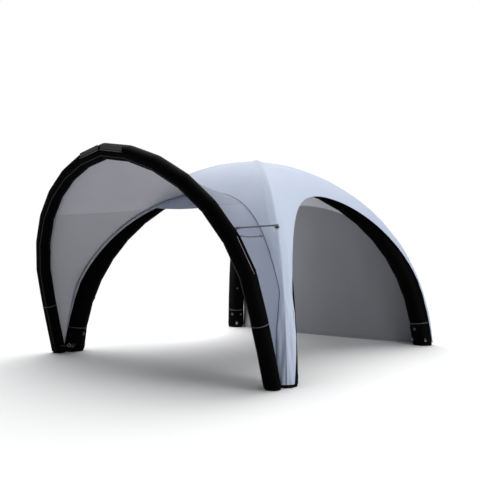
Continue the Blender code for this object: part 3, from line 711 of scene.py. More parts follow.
def archAt(share):
    # the arch's axis at a share of the way from its crown to a foot, and its way out there
    place = share * archCount
    length = min(int(place), archCount - 1)
    point = archBends[length].lerp(archBends[length + 1], place - length)
    fall = math.radians(arch["slopes"][length])
    if abs(place - length) < arch["atJoint"] and length > 0:
        fall = (fall + math.radians(arch["slopes"][length - 1])) / 2
    if share < arch["atCrown"]:
        fall = 0.0
    return archPlace(*point), archPlace(math.sin(fall), math.cos(fall)) - archPlace(0, 0)


def archShareAtHeight(height):
    slant = height / math.cos(arch["tilt"])
    for k, (high, low) in enumerate(zip(archBends, archBends[1:])):
        if low.y <= slant <= high.y:
            return (k + (high.y - slant) / (high.y - low.y)) / archCount
    return 1.0


def archJoints():
    # mitred joints from the left foot over the crown to the right foot
    joints = []
    for k in range(-archCount, archCount + 1):
        size = abs(k)
        centre, out = archAt(size / archCount)
        kink = 0
        if size == 0:
            kink = 2 * arch["slopes"][0]
        elif size < archCount:
            kink = arch["slopes"][size] - arch["slopes"][size - 1]
        out = out / math.cos(math.radians(kink / 2))
        if k < 0:
            centre, out = mirrorX @ centre, mirrorX @ out
        joints.append(frameOf(centre, archRear, out, archRear.cross(out).normalized()))
    return joints


archBm, archRings = sleeve(archJoints(), arch["radius"], beam["seeds"]["arch"])
cutLevel(archRings, arch["soleTop"])
cutLevel(archRings[::-1], arch["soleTop"])
finishPiece("awning_beam", [archBm], ["beamCloth"], "beam_cloth", ["awning_arch"])
print("awning arch filled")

# Awning fabric, stretched from the rear of the arch to the canopy, just past the front hem

awning = {
    "footShare": 0.965, "seamShare": 4 / 9, "crowd": 1.65, "clear": 0.0008, "cloth": 0.003,
    "lowest": 0.1, "columns": 126, "rows": 22, "sag": 0.02, "lap": 0.08, "lapRise": 0.05,
    "lapStart": 0.3, "lapFull": 1.2, "nearShare": 0.002, "nearRuling": 0.005,
    "tieShares": (0.553, 0.63), "flat": (8.9, 2.0), "flatArea": 8.9,
}
lapHeight = canopy["hemHeight"] + awning["lapRise"]
lowestAngle = math.acos(awning["lowest"] / lapHeight)


def toFront(point):
    # turns a point of the right side to the right half of the front
    return mirrorX @ (turnZ(-90) @ point)


def lapHalfWidth(t):
    # half the width between the awning's edges, which lie on the canopy outside its hem
    height = flatHeight(t)
    grown = (height - awning["lapStart"]) / (awning["lapFull"] - awning["lapStart"])
    lap = awning["lap"] * min(max(grown, 0.0), 1.0)
    whole = (canopy["hemHalfWidth"] + lap) * hemShare(height / lapHeight)
    return max(whole - legFlare(t), 0.0)


def lapPoint(share, lift):
    # a point of the awning's edge at a share of the arch, this far off the canopy
    angle = lowestAngle * (share / awning["footShare"]) ** awning["crowd"]
    t = placeAtHeight(lapHeight * math.cos(angle))
    point, normal = onCover(t, lengthTo(t, lapHalfWidth(t)))
    return toFront(point + normal * lift), toFront(normal)


def awningPoint(share, k):
    # on the ruling at a share of the arch: k is 0 at the arch and 1 at the canopy
    centre, out = archAt(abs(share))
    start = centre + archRear * (arch["radius"] + awning["clear"])
    stop, _ = lapPoint(abs(share), awning["clear"])
    dip = 4 * k * (1 - k) * awning["sag"] * min(1.0, (stop - start).length)
    point = start.lerp(stop, k) - out.normalized() * dip
    return mirrorX @ point if share < 0 else point


def awningSheet():
    bm = clothGrid(awning["columns"], awning["rows"])
    # the roof's faces take the cloth with the darker painted shade, the sides' faces the lighter painted
    # shade
    for face in bm.faces:
        share = 2 * awning["footShare"] * face.calc_center_median().x
        face.material_index = 0 if abs(share) < awning["seamShare"] else 2
    for vertex in bm.verts:
        vertex.co = awningPoint(2 * awning["footShare"] * vertex.co.x, vertex.co.y + 0.5)
    weld(bm)
    nodes = ["awning_roof", "awning_side_right", "awning_side_left"]
    cloths = ["awningRoofShadedCloth", "liningCloth", "awningSideShadedCloth", "awningSideShadedLining"]
    piece = finishPiece("awning_cover", [bm], cloths, "canopy_cloth", nodes)
    giveThickness(piece, awning["cloth"], 1, 1)
    return piece


awningCover = awningSheet()
print("awning sewn:", len(awningCover.data.polygons), "faces")

# Back wall and the valance at the front, hung in the openings

wall = {
    "clear": 0.002, "lean": 0.13, "bow": 0.12, "columns": 48, "rows": 60, "cloth": 0.003,
    "angle": 89.6, "sag": 0.0, "turn": 90, "seams": (-0.75, 0.75), "seamSpace": 0.9,
    "flat": (4.3, 2.9), "flatArea": 10.2,
}
valance = {
    "columns": 48, "rows": 14, "cloth": 0.003, "angle": 20.5, "sag": 0.05, "turn": -90,
    "flat": (1.76, 0.26), "flatArea": 0.345,
}
opening = {"gap": 0.0015, "legClear": 0.006, "legSamples": 60, "narrowest": 0.1, "narrowBy": 0.004}


def legSpace(point):
    # how far a point is from the axis of the leg nearest to it
    shares = evenly(opening["legSamples"])
    axis = [legFrame(share, corners["front_right"]).translation for share in shares]
    point = Vector((point.x, -abs(point.y), point.z))
    spaces = []
    for a, b in zip(axis, axis[1:]):
        way = b - a
        share = max(0.0, min(1.0, (point - a).dot(way) / way.length_squared))
        spaces.append((point - a - way * share).length)
    return min(spaces)


def wallPoint(t, share, half):
    axis, _, sideOut = section(t)
    height = max(flatHeight(t), 0.0) / canopy["hemHeight"]
    drop = wall["lean"] * (1 - height) ** 4 + wall["bow"] * (1 - share * share) * (1 - height)
    reach = canopy["reach"] - drop
    return Vector((axis.x / root2 + sideOut.x * reach, half * share, axis.y + sideOut.y * reach))


def closingRows(sheet):
    # (place, half width) of a closing sheet's rows, from its lowest up to the top of the opening
    rows = []
    least = beam["radius"] + opening["legClear"]
    for k in range(sheet["rows"] + 1):
        angle = math.radians(sheet["angle"]) * (1 - k / sheet["rows"])
        t = placeAtHeight((canopy["hemHeight"] - opening["gap"]) * math.cos(angle))
        half = hemHalfWidth(t) - opening["gap"] * math.sin(angle)
        while half > opening["narrowest"] and legSpace(wallPoint(t, 1, half)) < least:
            half -= opening["narrowBy"]
        rows.append((t, max(half, 0.0)))
    return rows


def closingPoint(sheet, row, share):
    # the lower edge sags by the sheet's own sag, or lies level at its clearance of the ground
    t, half = sheet["laid"][row]
    if sheet["sag"]:
        left = sheet["sag"] * (1 - share * share) * (1 - row / sheet["rows"])
        t = placeAtHeight(flatHeight(t) - left)
    point = wallPoint(t, share, half)
    if row == 0 and not sheet["sag"]:
        nextPlace, nextHalf = sheet["laid"][1]
        higher = wallPoint(nextPlace, share, nextHalf)
        point += (higher - point) * ((sheet["clear"] - point.z) / (higher.z - point.z))
    return point


def closingSheet(name, sheet, materials, slotName, node):
    sheet["laid"] = closingRows(sheet)
    bm = clothGrid(sheet["columns"], sheet["rows"])
    for vertex in bm.verts:
        row = round((vertex.co.y + 0.5) * sheet["rows"])
        vertex.co = closingPoint(sheet, row, 2 * vertex.co.x)
    moved(bm, turnZ(sheet["turn"]))
    weld(bm)
    piece = finishPiece(name, [bm], materials, slotName, [node])
    giveThickness(piece, sheet["cloth"], -1, len(materials) - 1)
    return piece


backWall = closingSheet("back_wall_cloth", wall, ["wallCloth"], "wall_cloth", "back_wall")
valanceCloth = closingSheet(
    "front_valance_cloth", valance, ["canopyCloth", "liningCloth"], "canopy_cloth", "front_valance",
)
print("back wall and valance hung:", len(backWall.data.polygons), "faces in the wall")

# Seams, bound edges and tapes. An outline is its two sides, then its bottom and top off the cloth.

trim = {
    "binding": (-0.0015, 0.022, -0.0042, 0.0012), "ridge": (-0.006, 0.006, -0.001, 0.0011),
    "ridgeRows": 70, "ridgeStart": 0.016, "ridgeRun": 0.985, "cuffSteps": 44,
    "edgeTape": (-0.001, 0.013, 0.0002, 0.0046), "edgeRows": 120,
    "roofSeam": (-0.006, 0.006, 0.002, 0.0042), "roofTape": (-0.006, 0.006, -0.0012, 0.001),
    "roofRows": 40, "roofStart": 0.02, "roofRun": 0.97,
    "tie": (-0.01, 0.01, -0.0006, 0.0024), "tieRows": 12, "tieStart": 0.03, "tieRun": 0.94,
    "tiePatch": (0.05, 0.004, 0.05), "patchEdge": 0.001,
    "liningAngle": 24, "liningRows": 90, "liningColumns": 3, "liningLift": 0.002,
    "liningThick": 0.001,
    "wallHem": (-0.001, 0.04, -0.0042, 0.0012), "valanceHem": (-0.001, 0.02, -0.0042, 0.0012),
    "wallSeam": (-0.007, 0.007, -0.004, 0.001), "corner": 0.0007,
}


def stripOutline(low, high, bottom, top):
    # a flat strip across X with its corners taken off; Y is the way off the cloth
    edge = min(trim["corner"], (top - bottom) / 3)
    return [
        (low + edge, bottom), (high - edge, bottom), (high, bottom + edge), (high, top - edge),
        (high - edge, top), (low + edge, top), (low, top - edge), (low, bottom + edge),
    ]


def runPlaces(line):
    # placing matrices along points on cloth: X lies across the line on it and Y off it
    places = []
    for k, (point, normal) in enumerate(line):
        after, before = line[min(k + 1, len(line) - 1)][0], line[max(k - 1, 0)][0]
        way = (after - before).normalized()
        across = normal.cross(way).normalized()
        places.append(frameOf(point, across, way.cross(across), way))
    return places


def strip(line, sizes):
    # a strip along (point, way off) pairs
    return sweep(stripOutline(*sizes), runPlaces(line))[0]


def reversedLine(line, matrix):
    return [(matrix @ point, matrix @ normal) for point, normal in reversed(line)]


def hemBinding():
    half = []
    for k in range(canopy["hemRows"] + 1):
        t = hemPlace(k)
        half.append(onCover(t, lengthTo(t, hemHalfWidth(t))))
    flip = Matrix.Diagonal((1, -1, 1, 1))
    return strip(half + reversedLine(half[:-1], flip), trim["binding"])


def legCuff():
    # the bound lower edge of the cover, round the outside of a leg
    t = placeAtHeight(canopy["hemFoot"])
    full = lengthTo(t, hemHalfWidth(t))
    half = []
    for share in evenly(trim["cuffSteps"]):
        point, normal = onCover(t, full * share)
        half.append((point, Vector((normal.x, normal.y, 0)).normalized()))
    swap = Matrix(((0, -1, 0, 0), (-1, 0, 0, 0), (0, 0, 1, 0), (0, 0, 0, 1)))
    return strip(reversedLine(half[1:], swap) + half, trim["binding"])


def ridgeSeam():
    shares = [trim["ridgeStart"] + trim["ridgeRun"] * share for share in evenly(trim["ridgeRows"])]
    return strip([onCover(share, 0.0) for share in shares], trim["ridge"])


def awningEdgeTape():
    half = [lapPoint(awning["footShare"] * share, 0.0) for share in evenly(trim["edgeRows"])]
    return strip(reversedLine(half[1:], mirrorX) + half, trim["edgeTape"])


def awningLine(shares, rulings, lift=0.0):
    # points on the awning and the ways off it, from shares of the arch and of the rulings there
    line = []
    for share, k in zip(shares, rulings):
        point = awningPoint(share, k)
        over = awningPoint(share, k + awning["nearRuling"]) - point
        beside = awningPoint(share + awning["nearShare"], k) - point
        normal = beside.cross(over).normalized()
        line.append((point + normal * lift, normal))
    return line


def roofSeam(side, sizes):
    rulings = [trim["roofStart"] + trim["roofRun"] * part for part in evenly(trim["roofRows"])]
    return strip(awningLine([side * awning["seamShare"]] * len(rulings), rulings), sizes)


def awningTieAndShadow():
    # a flat dark webbing tie on the awning's outside, from the arch to a sewn patch at its edge; it runs
    # just below the strut and its dark strip also paints the strut's shadow on the awning
    parts = evenly(trim["tieRows"])
    low, high = awning["tieShares"]
    shares = [low + (high - low) * part for part in parts]
    rulings = [trim["tieStart"] + trim["tieRun"] * part for part in parts]
    line = awningLine(shares, rulings, awning["cloth"])
    patch = boxAt(runPlaces(line)[-2], trim["tiePatch"], trim["patchEdge"])
    return joined([strip(line, trim["tie"]), patch])


def lapLining():
    # the side lining carried on over the awning's lap, as far as the opening's edge
    bm = clothGrid(trim["liningRows"], trim["liningColumns"])
    first = math.radians(trim["liningAngle"])
    for vertex in bm.verts:
        angle = first + (lowestAngle - first) * (vertex.co.x + 0.5)
        share = vertex.co.y + 0.5
        low = placeAtHeight(canopy["hemHeight"] * math.cos(angle))
        high = placeAtHeight(lapHeight * math.cos(angle))
        t = placeAtHeight(flatHeight(low) * (1 - share) + flatHeight(high) * share)
        along = lengthTo(t, hemHalfWidth(low) * (1 - share) + lapHalfWidth(high) * share)
        point, normal = onCover(t, along)
        vertex.co = toFront(point + normal * trim["liningLift"])
    return bm


def lapLiningLeft():
    bm = moved(lapLining(), mirrorX)
    bmesh.ops.reverse_faces(bm, faces=bm.faces)
    return bm


def aroundTent(makeOne):
    # the same piece on the four sides
    return [moved(makeOne(), turnZ(90 * quarter)) for quarter in range(4)]


def bothRoofSeams(sizes):
    return [roofSeam(side, sizes) for side in (1, -1)]


def closingHem(sheet, sizes):
    # the doubled lower hem of a closing sheet
    line = []
    for part in evenly(sheet["columns"]):
        low, higher = closingPoint(sheet, 0, 2 * part - 1), closingPoint(sheet, 2, 2 * part - 1)
        line.append((low, Vector((0, 1, 0)).cross(higher - low).normalized()))
    return moved(strip(line, sizes), turnZ(sheet["turn"]))


def wallSeam(across):
    # an upright seam where two widths of the wall meet
    top = next(k for k, (_, half) in enumerate(wall["laid"]) if half < wall["seamSpace"]) - 1
    line = []
    for row in range(1, top):
        t, half = wall["laid"][row]
        here = wallPoint(t, across / half, half)
        after = wallPoint(wall["laid"][row + 1][0], across / half, half)
        line.append((here, Vector((0, 1, 0)).cross(after - here).normalized()))
    return moved(strip(line, trim["wallSeam"]), turnZ(wall["turn"]))


sewn = {}
for name, parts, material, slotName in (
    ("hem_bindings", aroundTent(hemBinding), "bindingCloth", "canopy_cloth"),
    ("leg_cuffs", aroundTent(legCuff), "bindingCloth", "canopy_cloth"),
    ("ridge_seams", aroundTent(ridgeSeam), "bindingCloth", "canopy_cloth"),
    ("awning_edge_tape", [awningEdgeTape()], "seamTape", "canopy_cloth"),
    # the roof seams are in the roof's cloth with painted shade
    ("roof_seams", bothRoofSeams(trim["roofSeam"]), "awningRoofShadedCloth", "canopy_cloth"),
    # the roof seam tapes and the lap linings use the sides' lining with painted shade
    ("roof_seam_tapes", bothRoofSeams(trim["roofTape"]), "awningSideShadedLining", "canopy_cloth"),
    ("lap_linings", [lapLining(), lapLiningLeft()], "awningSideShadedLining", "canopy_cloth"),
    ("awning_ties_and_shadows", [awningTieAndShadow(), mirrored(awningTieAndShadow())], "tieAndShadowWebbing", "canopy_cloth"),
    (
        "wall_seams", [closingHem(wall, trim["wallHem"])] + [wallSeam(x) for x in wall["seams"]],
        "wallCloth", "wall_cloth",
    ),
    ("valance_hem", [closingHem(valance, trim["valanceHem"])], "bindingCloth", "canopy_cloth"),
):
    sewn[name] = finishPiece(name, parts, [material], slotName)
giveThickness(sewn["lap_linings"], trim["liningThick"], 0)

print("seams and edges bound")

# Fittings on the legs and the arch. Angles go round a tube from its outer side.

strap = {
    "width": 0.012, "thick": 0.0022, "steps": 60, "seat": 0.0006, "buckle": (0.02, 0.03, 0.004),
    "buckleEdge": 0.0012, "buckleLift": 0.003, "tailThick": 0.0042, "tailSteps": 8,
    "legs": {"height": 0.43, "span": (57, 303), "buckleAt": 205, "tail": (208, 220)},
    "arch": {"height": 0.85, "span": (14, 346), "buckleAt": 200, "tail": (203, 222)},
}
fitting = {
    "seat": 0.0004, "valve": 0.33, "valveAngle": 33.75, "relief": 1.0, "eyelet": 0.12,
    "eyeletLift": 0.0014, "ring": 0.115, "ringSize": (0.014, 0.017, 0.0022), "ringLift": 0.0042,
    "ringDrop": 0.014, "grips": 16, "gripPlace": (0.0216, 0, 0.011),
    "grip": (0.0022, 0.0022, 0.0042), "gripEdge": 0.0005,
    "sides": {"valve": 40, "relief": 36, "eyelet": 40},
}
patches = {   # half the angle that it covers, its width, thickness and steps
    "eyelet": (10, 0.09, 0.0016, 24), "ring": (4, 0.07, 0.0016, 8), "loop": (3, 0.024, 0.0062, 8),
}
hoopSteps = {"round": 28, "wire": 8, "squareness": 0.7}


def rimOf(centre, zeroWay, sideWay, along, radius, flip=False):
    # finds a point on a tube at an angle, its way out and the way along
    def rim(degrees):
        angle = math.radians(degrees)
        out = zeroWay * math.cos(angle) + sideWay * math.sin(angle)
        found = (centre + out * radius, out, along)
        return tuple(mirrorX @ part for part in found) if flip else found

    return rim


def legRim(height, corner, reach=0.0):
    for low, high in zip(legJoints, legJoints[1:]):
        start, stop = legFrame(low, corner), legFrame(high, corner)
        if height <= stop.translation.z:
            break
    side = start.col[1].xyz
    way = (stop.translation - start.translation).normalized()
    share = (height - start.translation.z) / (stop.translation.z - start.translation.z)
    centre = start.translation.lerp(stop.translation, share)
    radius = beam["radius"] * (1 + swellAt(share)) + reach
    return rimOf(centre, side.cross(way), side, way, radius)


def archRim(share, mirror, reach=0.0):
    centre, out = archAt(share)
    radius = arch["radius"] * (1 + swellAt(share * archCount % 1)) + reach
    return rimOf(centre, archRear, out, archRear.cross(out).normalized(), radius, mirror)


def strapOn(rim, span, width, thick, steps):
    # a flat strap over part of a tube, between two angles
    places = []
    for part in evenly(steps):
        point, out, along = rim(span[0] + (span[1] - span[0]) * part)
        places.append(frameOf(point, along, out, along.cross(out)))
    return sweep(stripOutline(-width / 2, width / 2, 0.0, thick), places)[0]


def sewnPatch(kind, rim, degrees):
    half, width, thick, steps = patches[kind]
    return strapOn(rim, (degrees - half, degrees + half), width, thick, steps)


def rimPlace(rim, degrees, lift=0.0):
    # X along the tube, Y round it and Z off it
    point, out, along = rim(degrees)
    return frameOf(point + out * lift, along, out.cross(along), out)


def hoop(place, halfWide, halfHigh, wire):
    # a closed wire ring with rounded corners in the X-Y plane of its place
    steps, power = hoopSteps["round"], hoopSteps["squareness"]
    points = []
    for x, y in circle(1, steps):
        wide = math.copysign(abs(x) ** power, x) * halfWide
        points.append(Vector((wide, math.copysign(abs(y) ** power, y) * halfHigh, 0)))
    places = []
    for k in range(steps + 1):
        way = (points[(k + 1) % steps] - points[(k - 1) % steps]).normalized()
        places.append(place @ frameOf(points[k % steps], way.cross(up) * -1, up, way))
    bm, _ = sweep(circle(wire, hoopSteps["wire"]), places, caps=False)
    weld(bm, 0.00005)
    return bm


sole = {
    "height": 0.03, "sides": 56, "legs": 0.172, "arch": 0.106,
    "rim": (
        (-0.01, 0), (-0.003, 0.002), (0, 0.006), (0, 0.011), (-0.003, 0.013), (-0.003, 0.016),
        (0, 0.018), (0, 0.025), (-0.002, 0.0285), (-0.006, 0.03),
    ),
}
soleNodes = ["sole_" + name for name in corners] + ["arch_sole_right", "arch_sole_left"]
soleParts = []
for node in soleNodes:
    low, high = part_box(node)
    middle = (low + high) / 2 - tentMiddle
    radius = sole["arch"] if node.startswith("arch") else sole["legs"]
    rim = [(radius + inset, height) for inset, height in sole["rim"]]
    outline = [(0, 0)] + rim + [(0, sole["height"])]
    place = Matrix.Translation((middle.x, middle.y, 0))
    soleParts.append(moved(turned(outline, sole["sides"]), place))
finishPiece("ground_soles", soleParts, ["soleRubber"], "sole_rubber", soleNodes)

strapRims = []
for corner in corners.values():
    strapRims.append((legRim(strap["legs"]["height"], corner, strap["seat"]), strap["legs"]))
for mirror in (False, True):
    share = archShareAtHeight(strap["arch"]["height"])
    strapRims.append((archRim(share, mirror, strap["seat"]), strap["arch"]))
strapParts, buckleParts = [], []
for rim, one in strapRims:
    buckle = rimPlace(rim, one["buckleAt"], strap["buckleLift"])
    buckleParts.append(boxAt(buckle, strap["buckle"], strap["buckleEdge"]))
    strapParts += [
        strapOn(rim, one["span"], strap["width"], strap["thick"], strap["steps"]),
        strapOn(rim, one["tail"], strap["width"], strap["tailThick"], strap["tailSteps"]),
    ]
strapNodes = ["leg_strap_" + name for name in corners] + ["arch_strap_right", "arch_strap_left"]
finishPiece("straps", strapParts, ["webbing"], "webbing", strapNodes)
finishPiece("strap_buckles", buckleParts, ["valvePlastic"], "valve_plastic")

roundOutlines = {
    "valve": [
        (0, 0), (0.0285, 0), (0.03, 0.0009), (0.03, 0.0024), (0.0285, 0.0036), (0.0225, 0.0044),
        (0.0205, 0.0052), (0.0205, 0.008), (0.0215, 0.0088), (0.0215, 0.0122), (0.0202, 0.0134),
        (0.0125, 0.0134), (0.0112, 0.0122), (0, 0.0122),
    ],
    "relief": [
        (0, 0), (0.0195, 0), (0.0205, 0.0008), (0.0205, 0.002), (0.0192, 0.0032), (0.0132, 0.004),
        (0.0128, 0.007), (0.0118, 0.008), (0.0045, 0.008), (0.0038, 0.0068), (0, 0.0068),
    ],
    "eyelet": [
        (0.010, 0.0), (0.0205, 0.0), (0.022, 0.0009), (0.0215, 0.0026), (0.0175, 0.0045),
        (0.0135, 0.0048), (0.0108, 0.0036), (0.010, 0.0018),
    ],
}


def inflationValve(place):
    # a flange, a threaded neck and a screwed cap with finger grips
    parts = [moved(turned(roundOutlines["valve"], fitting["sides"]["valve"]), place)]
    for k in range(fitting["grips"]):
        here = place @ turnZ(360 * k / fitting["grips"]) @ Matrix.Translation(fitting["gripPlace"])
        parts.append(boxAt(here, fitting["grip"], fitting["gripEdge"]))
    return parts


valveParts, reliefParts, eyeletParts, ringParts, patchParts = [], [], [], [], []
for corner in corners.values():
    rims = {}
    for kind in ("valve", "relief", "eyelet", "ring"):
        rims[kind] = legRim(fitting[kind], corner, fitting["seat"])
    for side in (-1, 1):
        valveParts += inflationValve(rimPlace(rims["valve"], 180 + side * fitting["valveAngle"]))
    for kind, parts, lift in (
        ("relief", reliefParts, 0.0), ("eyelet", eyeletParts, fitting["eyeletLift"]),
    ):
        made = turned(roundOutlines[kind], fitting["sides"][kind])
        parts.append(moved(made, rimPlace(rims[kind], 180, lift)))
    patchParts.append(sewnPatch("eyelet", rims["eyelet"], 180))
    for degrees in (90, 270):
        patchParts += [sewnPatch(kind, rims["ring"], degrees) for kind in ("ring", "loop")]
        place = rimPlace(rims["ring"], degrees, fitting["ringLift"])
        place = place @ Matrix.Translation((-fitting["ringDrop"], 0, 0))
        ringParts.append(hoop(place, *fitting["ringSize"]))

link = {
    "height": 0.13, "legAngles": (12, 8, 4, 0), "archAngles": (0, -5, -10, -15), "clear": 0.0012,
    "sizes": (-0.0125, 0.0125, 0.0, 0.0024), "ringOff": 0.0045, "ringSize": (0.026, 0.026, 0.0036),
}


def footLink():
    # webbing pulled straight from a front leg to the arch's foot beside it, on the inner side
    legCentre = legFrame(0.0, corners["front_right"]).translation
    archCentre = archAt(archShareAtHeight(link["height"]))[0]
    legCentre.z = archCentre.z = link["height"]
    across = archCentre - legCentre
    cosine = (beam["radius"] - arch["radius"]) / across.length
    way = across.normalized()
    off = way * cosine + way.cross(up) * math.sqrt(1 - cosine * cosine)
    line = []
    for centre, radius, angles in (
        (legCentre, beam["radius"], link["legAngles"]), (archCentre, arch["radius"], link["archAngles"]),
    ):
        for degrees in angles:
            out = Matrix.Rotation(math.radians(degrees), 3, "Z") @ off
            line.append((centre + out * (radius + link["clear"]), out))
    (start, _), (stop, _) = line[3], line[4]
    way = (stop - start).normalized()
    middle = (start + stop) / 2 + off * link["ringOff"]
    ring = hoop(frameOf(middle, way, off.cross(way), off) @ turnZ(45), *link["ringSize"])
    return strip(line, link["sizes"]), ring


rightLink, rightRing = footLink()
leftLink, leftRing = (mirrored(part) for part in footLink())
valveNodes = ["valve_%s_%s" % (name, side) for name in corners for side in "ab"]
eyeletNodes = ["eyelet_" + name for name in corners]
for row in (
    ("inflation_valves", valveParts, ["valvePlastic"], "valve_plastic", valveNodes),
    ("relief_valves", reliefParts, ["valvePlastic"], "valve_plastic"),
    ("anchor_eyelets", eyeletParts, ["eyeletMetal"], "eyelet_metal", eyeletNodes),
    ("anchor_rings", ringParts, ["eyeletMetal"], "eyelet_metal"),
    ("anchor_patches", patchParts, ["patchWebbing"], "webbing"),
    ("foot_links", [rightLink, leftLink], ["linkWebbing"], "webbing"),
    ("foot_rings", [rightRing, leftRing], ["eyeletMetal"], "eyelet_metal"),
):
    finishPiece(*row)
print("soles, straps, valves, anchors and links fitted")

# Zips and the piping of the arch's sleeve. A run is two places in the arch's lengths, and an angle.

zipSize = {
    "tape": (-0.013, 0.013, 0.0, 0.0014), "chain": (-0.0046, 0.0046, 0.0012, 0.0026),
    "flapDepth": (0.0, 0.0035), "seat": 0.0003, "steps": 24, "pitch": 0.007,
    "tooth": (0.0036, 0.0092, 0.0016), "toothEdge": 0.0004, "toothLift": 0.003,
    "slider": (0.016, 0.012, 0.006), "sliderEdge": 0.0018, "tab": (0.034, 0.008, 0.0025),
    "tabEdge": 0.001, "tabPlace": (0.026, 0, 0.001), "sliderUp": 0.02, "sliderLift": 0.005,
}
zipRuns = (
    {"ends": (5.02, 5.98), "angle": 96, "flap": (0.016, 0.052), "flaps": "zip_flaps"},
    # the crown's flaps are lighter grey, partly a painted highlight on the top of the crown
    {"ends": (0.03, 0.9), "angle": 163, "flap": (0.014, 0.078), "flaps": "crown_flaps"},
)
piping = {"ends": (-8.9, 8.9), "angle": 207, "sizes": (-0.004, 0.004, -0.003, 0.0024), "steps": 176}


def alongArch(run, steps, mirror, reach):
    # points down the arch's sleeve, with the ways off it
    low, high = run["ends"]
    line = []
    for part in evenly(steps):
        share = (low + (high - low) * part) / archCount
        point, out, _ = archRim(abs(share), mirror != (share < 0), reach)(run["angle"])
        line.append((point, out))
    return line


zipTapes, zipTeeth, zipPulls = [], [], []
zipFlaps = {run["flaps"]: [] for run in zipRuns}


def sewZip(run, mirror):
    # a tape with its teeth, the flap beside it and the slider at its lower end
    line = alongArch(run, zipSize["steps"], mirror, zipSize["seat"])
    (top, topOut), (foot, footOut) = line[0], line[-1]
    way = (foot - top).normalized()
    length = (foot - top).length
    zipTapes.append(strip(line, zipSize["tape"]))
    zipTeeth.append(strip(line, zipSize["chain"]))
    for k in range(int(length / zipSize["pitch"])):
        share = (k + 0.5) * zipSize["pitch"] / length
        out = topOut.lerp(footOut, share).normalized()
        at = top.lerp(foot, share) + out * (zipSize["toothLift"] + arch["radius"] * swellAt(share))
        tooth = boxAt(frameOf(at, way, out.cross(way), out), zipSize["tooth"], zipSize["toothEdge"])
        zipTeeth.append(tooth)
    low, high = run["flap"]
    if mirror:
        low, high = -high, -low
    zipFlaps[run["flaps"]].append(strip(line, (low, high, *zipSize["flapDepth"])))
    place = foot + footOut * zipSize["sliderLift"] - way * zipSize["sliderUp"]
    pull = frameOf(place, way, footOut.cross(way), footOut)
    zipPulls.append(boxAt(pull, zipSize["slider"], zipSize["sliderEdge"]))
    tab = pull @ Matrix.Translation(zipSize["tabPlace"])
    zipPulls.append(boxAt(tab, zipSize["tab"], zipSize["tabEdge"]))


for run in zipRuns:
    for mirror in (False, True):
        sewZip(run, mirror)
sleeveSeam = strip(alongArch(piping, piping["steps"], False, 0.0), piping["sizes"])
for row in (
    ("zip_tapes", zipTapes, ["beamCloth"], "beam_cloth"),
    ("zip_teeth", zipTeeth, ["zipPlastic"], "valve_plastic"),
    ("zip_flaps", zipFlaps["zip_flaps"], ["beamCloth"], "beam_cloth"),
    ("crown_flaps", zipFlaps["crown_flaps"], ["flapHighlightCloth"], "beam_cloth"),
    ("zip_pulls", zipPulls, ["strutMetal"], "strut_metal"),
    ("sleeve_piping", [sleeveSeam], ["pipingCloth"], "webbing"),
):
    finishPiece(*row)
print("zips sewn in")

# Struts from the arch to the ridges over the front legs

strut = {
    "archHeight": 2.00, "archAngle": 33.75, "radius": 0.0125, "stand": 0.036, "ball": 0.02,
    "ballShare": 0.9, "collar": 0.0155, "collarLength": 0.055, "clampAt": 0.55, "clampLong": 0.043,
    "clampRise": 0.0022, "chamfer": 0.003, "collarSlope": 0.004, "lip": 0.001, "rodSides": 36,
    "ballAngles": (-40, 90, 10), "plateSides": 40, "seat": 0.0012, "screws": 4, "screwSides": 16,
    "screwPlace": (0.027, 0, 0.0058),
    "plate": (
        (0, 0), (0.0345, 0), (0.036, 0.0015), (0.036, 0.0035), (0.0335, 0.0052), (0.02, 0.0085),
        (0.0125, 0.011), (0.011, 0.014), (0.011, 0.022),
    ),
    "screw": ((0, 0), (0.004, 0), (0.0038, 0.0016), (0.0022, 0.0026), (0, 0.0026)),
}


def bracketParts(place):
    # a round plate with a raised neck, a ball on it and its screws
    ball, stand = strut["ball"], strut["stand"]
    outline = list(strut["plate"])
    for degrees in range(*strut["ballAngles"]):
        angle = math.radians(degrees)
        outline.append((ball * math.cos(angle), stand + ball * math.sin(angle)))
    outline.append((0, stand + ball))
    parts = [moved(turned(outline, strut["plateSides"]), place)]
    for k in range(strut["screws"]):
        here = place @ turnZ(45 + 360 * k / strut["screws"])
        here = here @ Matrix.Translation(strut["screwPlace"])
        parts.append(moved(turned(strut["screw"], strut["screwSides"]), here))
    return parts


def rodOutline(length):
    # a tube with a collar at each end and a clamp where its two halves slide
    wide, thin, long = strut["collar"], strut["radius"], strut["collarLength"]
    edge, slope, lip = strut["chamfer"], strut["collarSlope"], strut["lip"]
    clamp, raised = length * strut["clampAt"], thin + strut["clampRise"]
    end = clamp + strut["clampLong"]
    return [
        (0, 0), (wide - edge, 0), (wide, edge), (wide, long - slope), (thin + lip, long),
        (thin, long + 2 * lip), (thin, clamp), (raised, clamp + edge), (raised, end - edge),
        (thin, end), (thin, length - long - 2 * lip), (thin + lip, length - long),
        (wide, length - long + slope), (wide, length - edge), (wide - edge, length), (0, length),
    ]


def strutParts():
    seat, ridgeWay = onCover(placeAtHeight(canopy["bracketHeight"], ridgeHeight), 0.0)
    seat = seat + ridgeWay * strut["seat"]
    archSeat, archWay, _ = archRim(archShareAtHeight(strut["archHeight"]), False)(strut["archAngle"])
    ridgeBall = seat + ridgeWay * strut["stand"]
    span = archSeat + archWay * strut["stand"] - ridgeBall
    way = span.normalized()
    inset = strut["ball"] * strut["ballShare"]
    rod = turned(rodOutline(span.length - 2 * inset), strut["rodSides"])
    return (
        [moved(rod, facing(ridgeBall + way * inset, way))],
        bracketParts(facing(seat, ridgeWay)), bracketParts(facing(archSeat, archWay)),
    )


for hand in ("right", "left"):
    for title, parts in zip(("strut_", "strut_dome_bracket_", "strut_arch_bracket_"), strutParts()):
        if hand == "left":
            parts = [mirrored(part) for part in parts]
        finishPiece(title + hand + "_fitted", parts, ["strutMetal"], "strut_metal", [title + hand])
print("struts fitted")

# Camera, floor and studio light

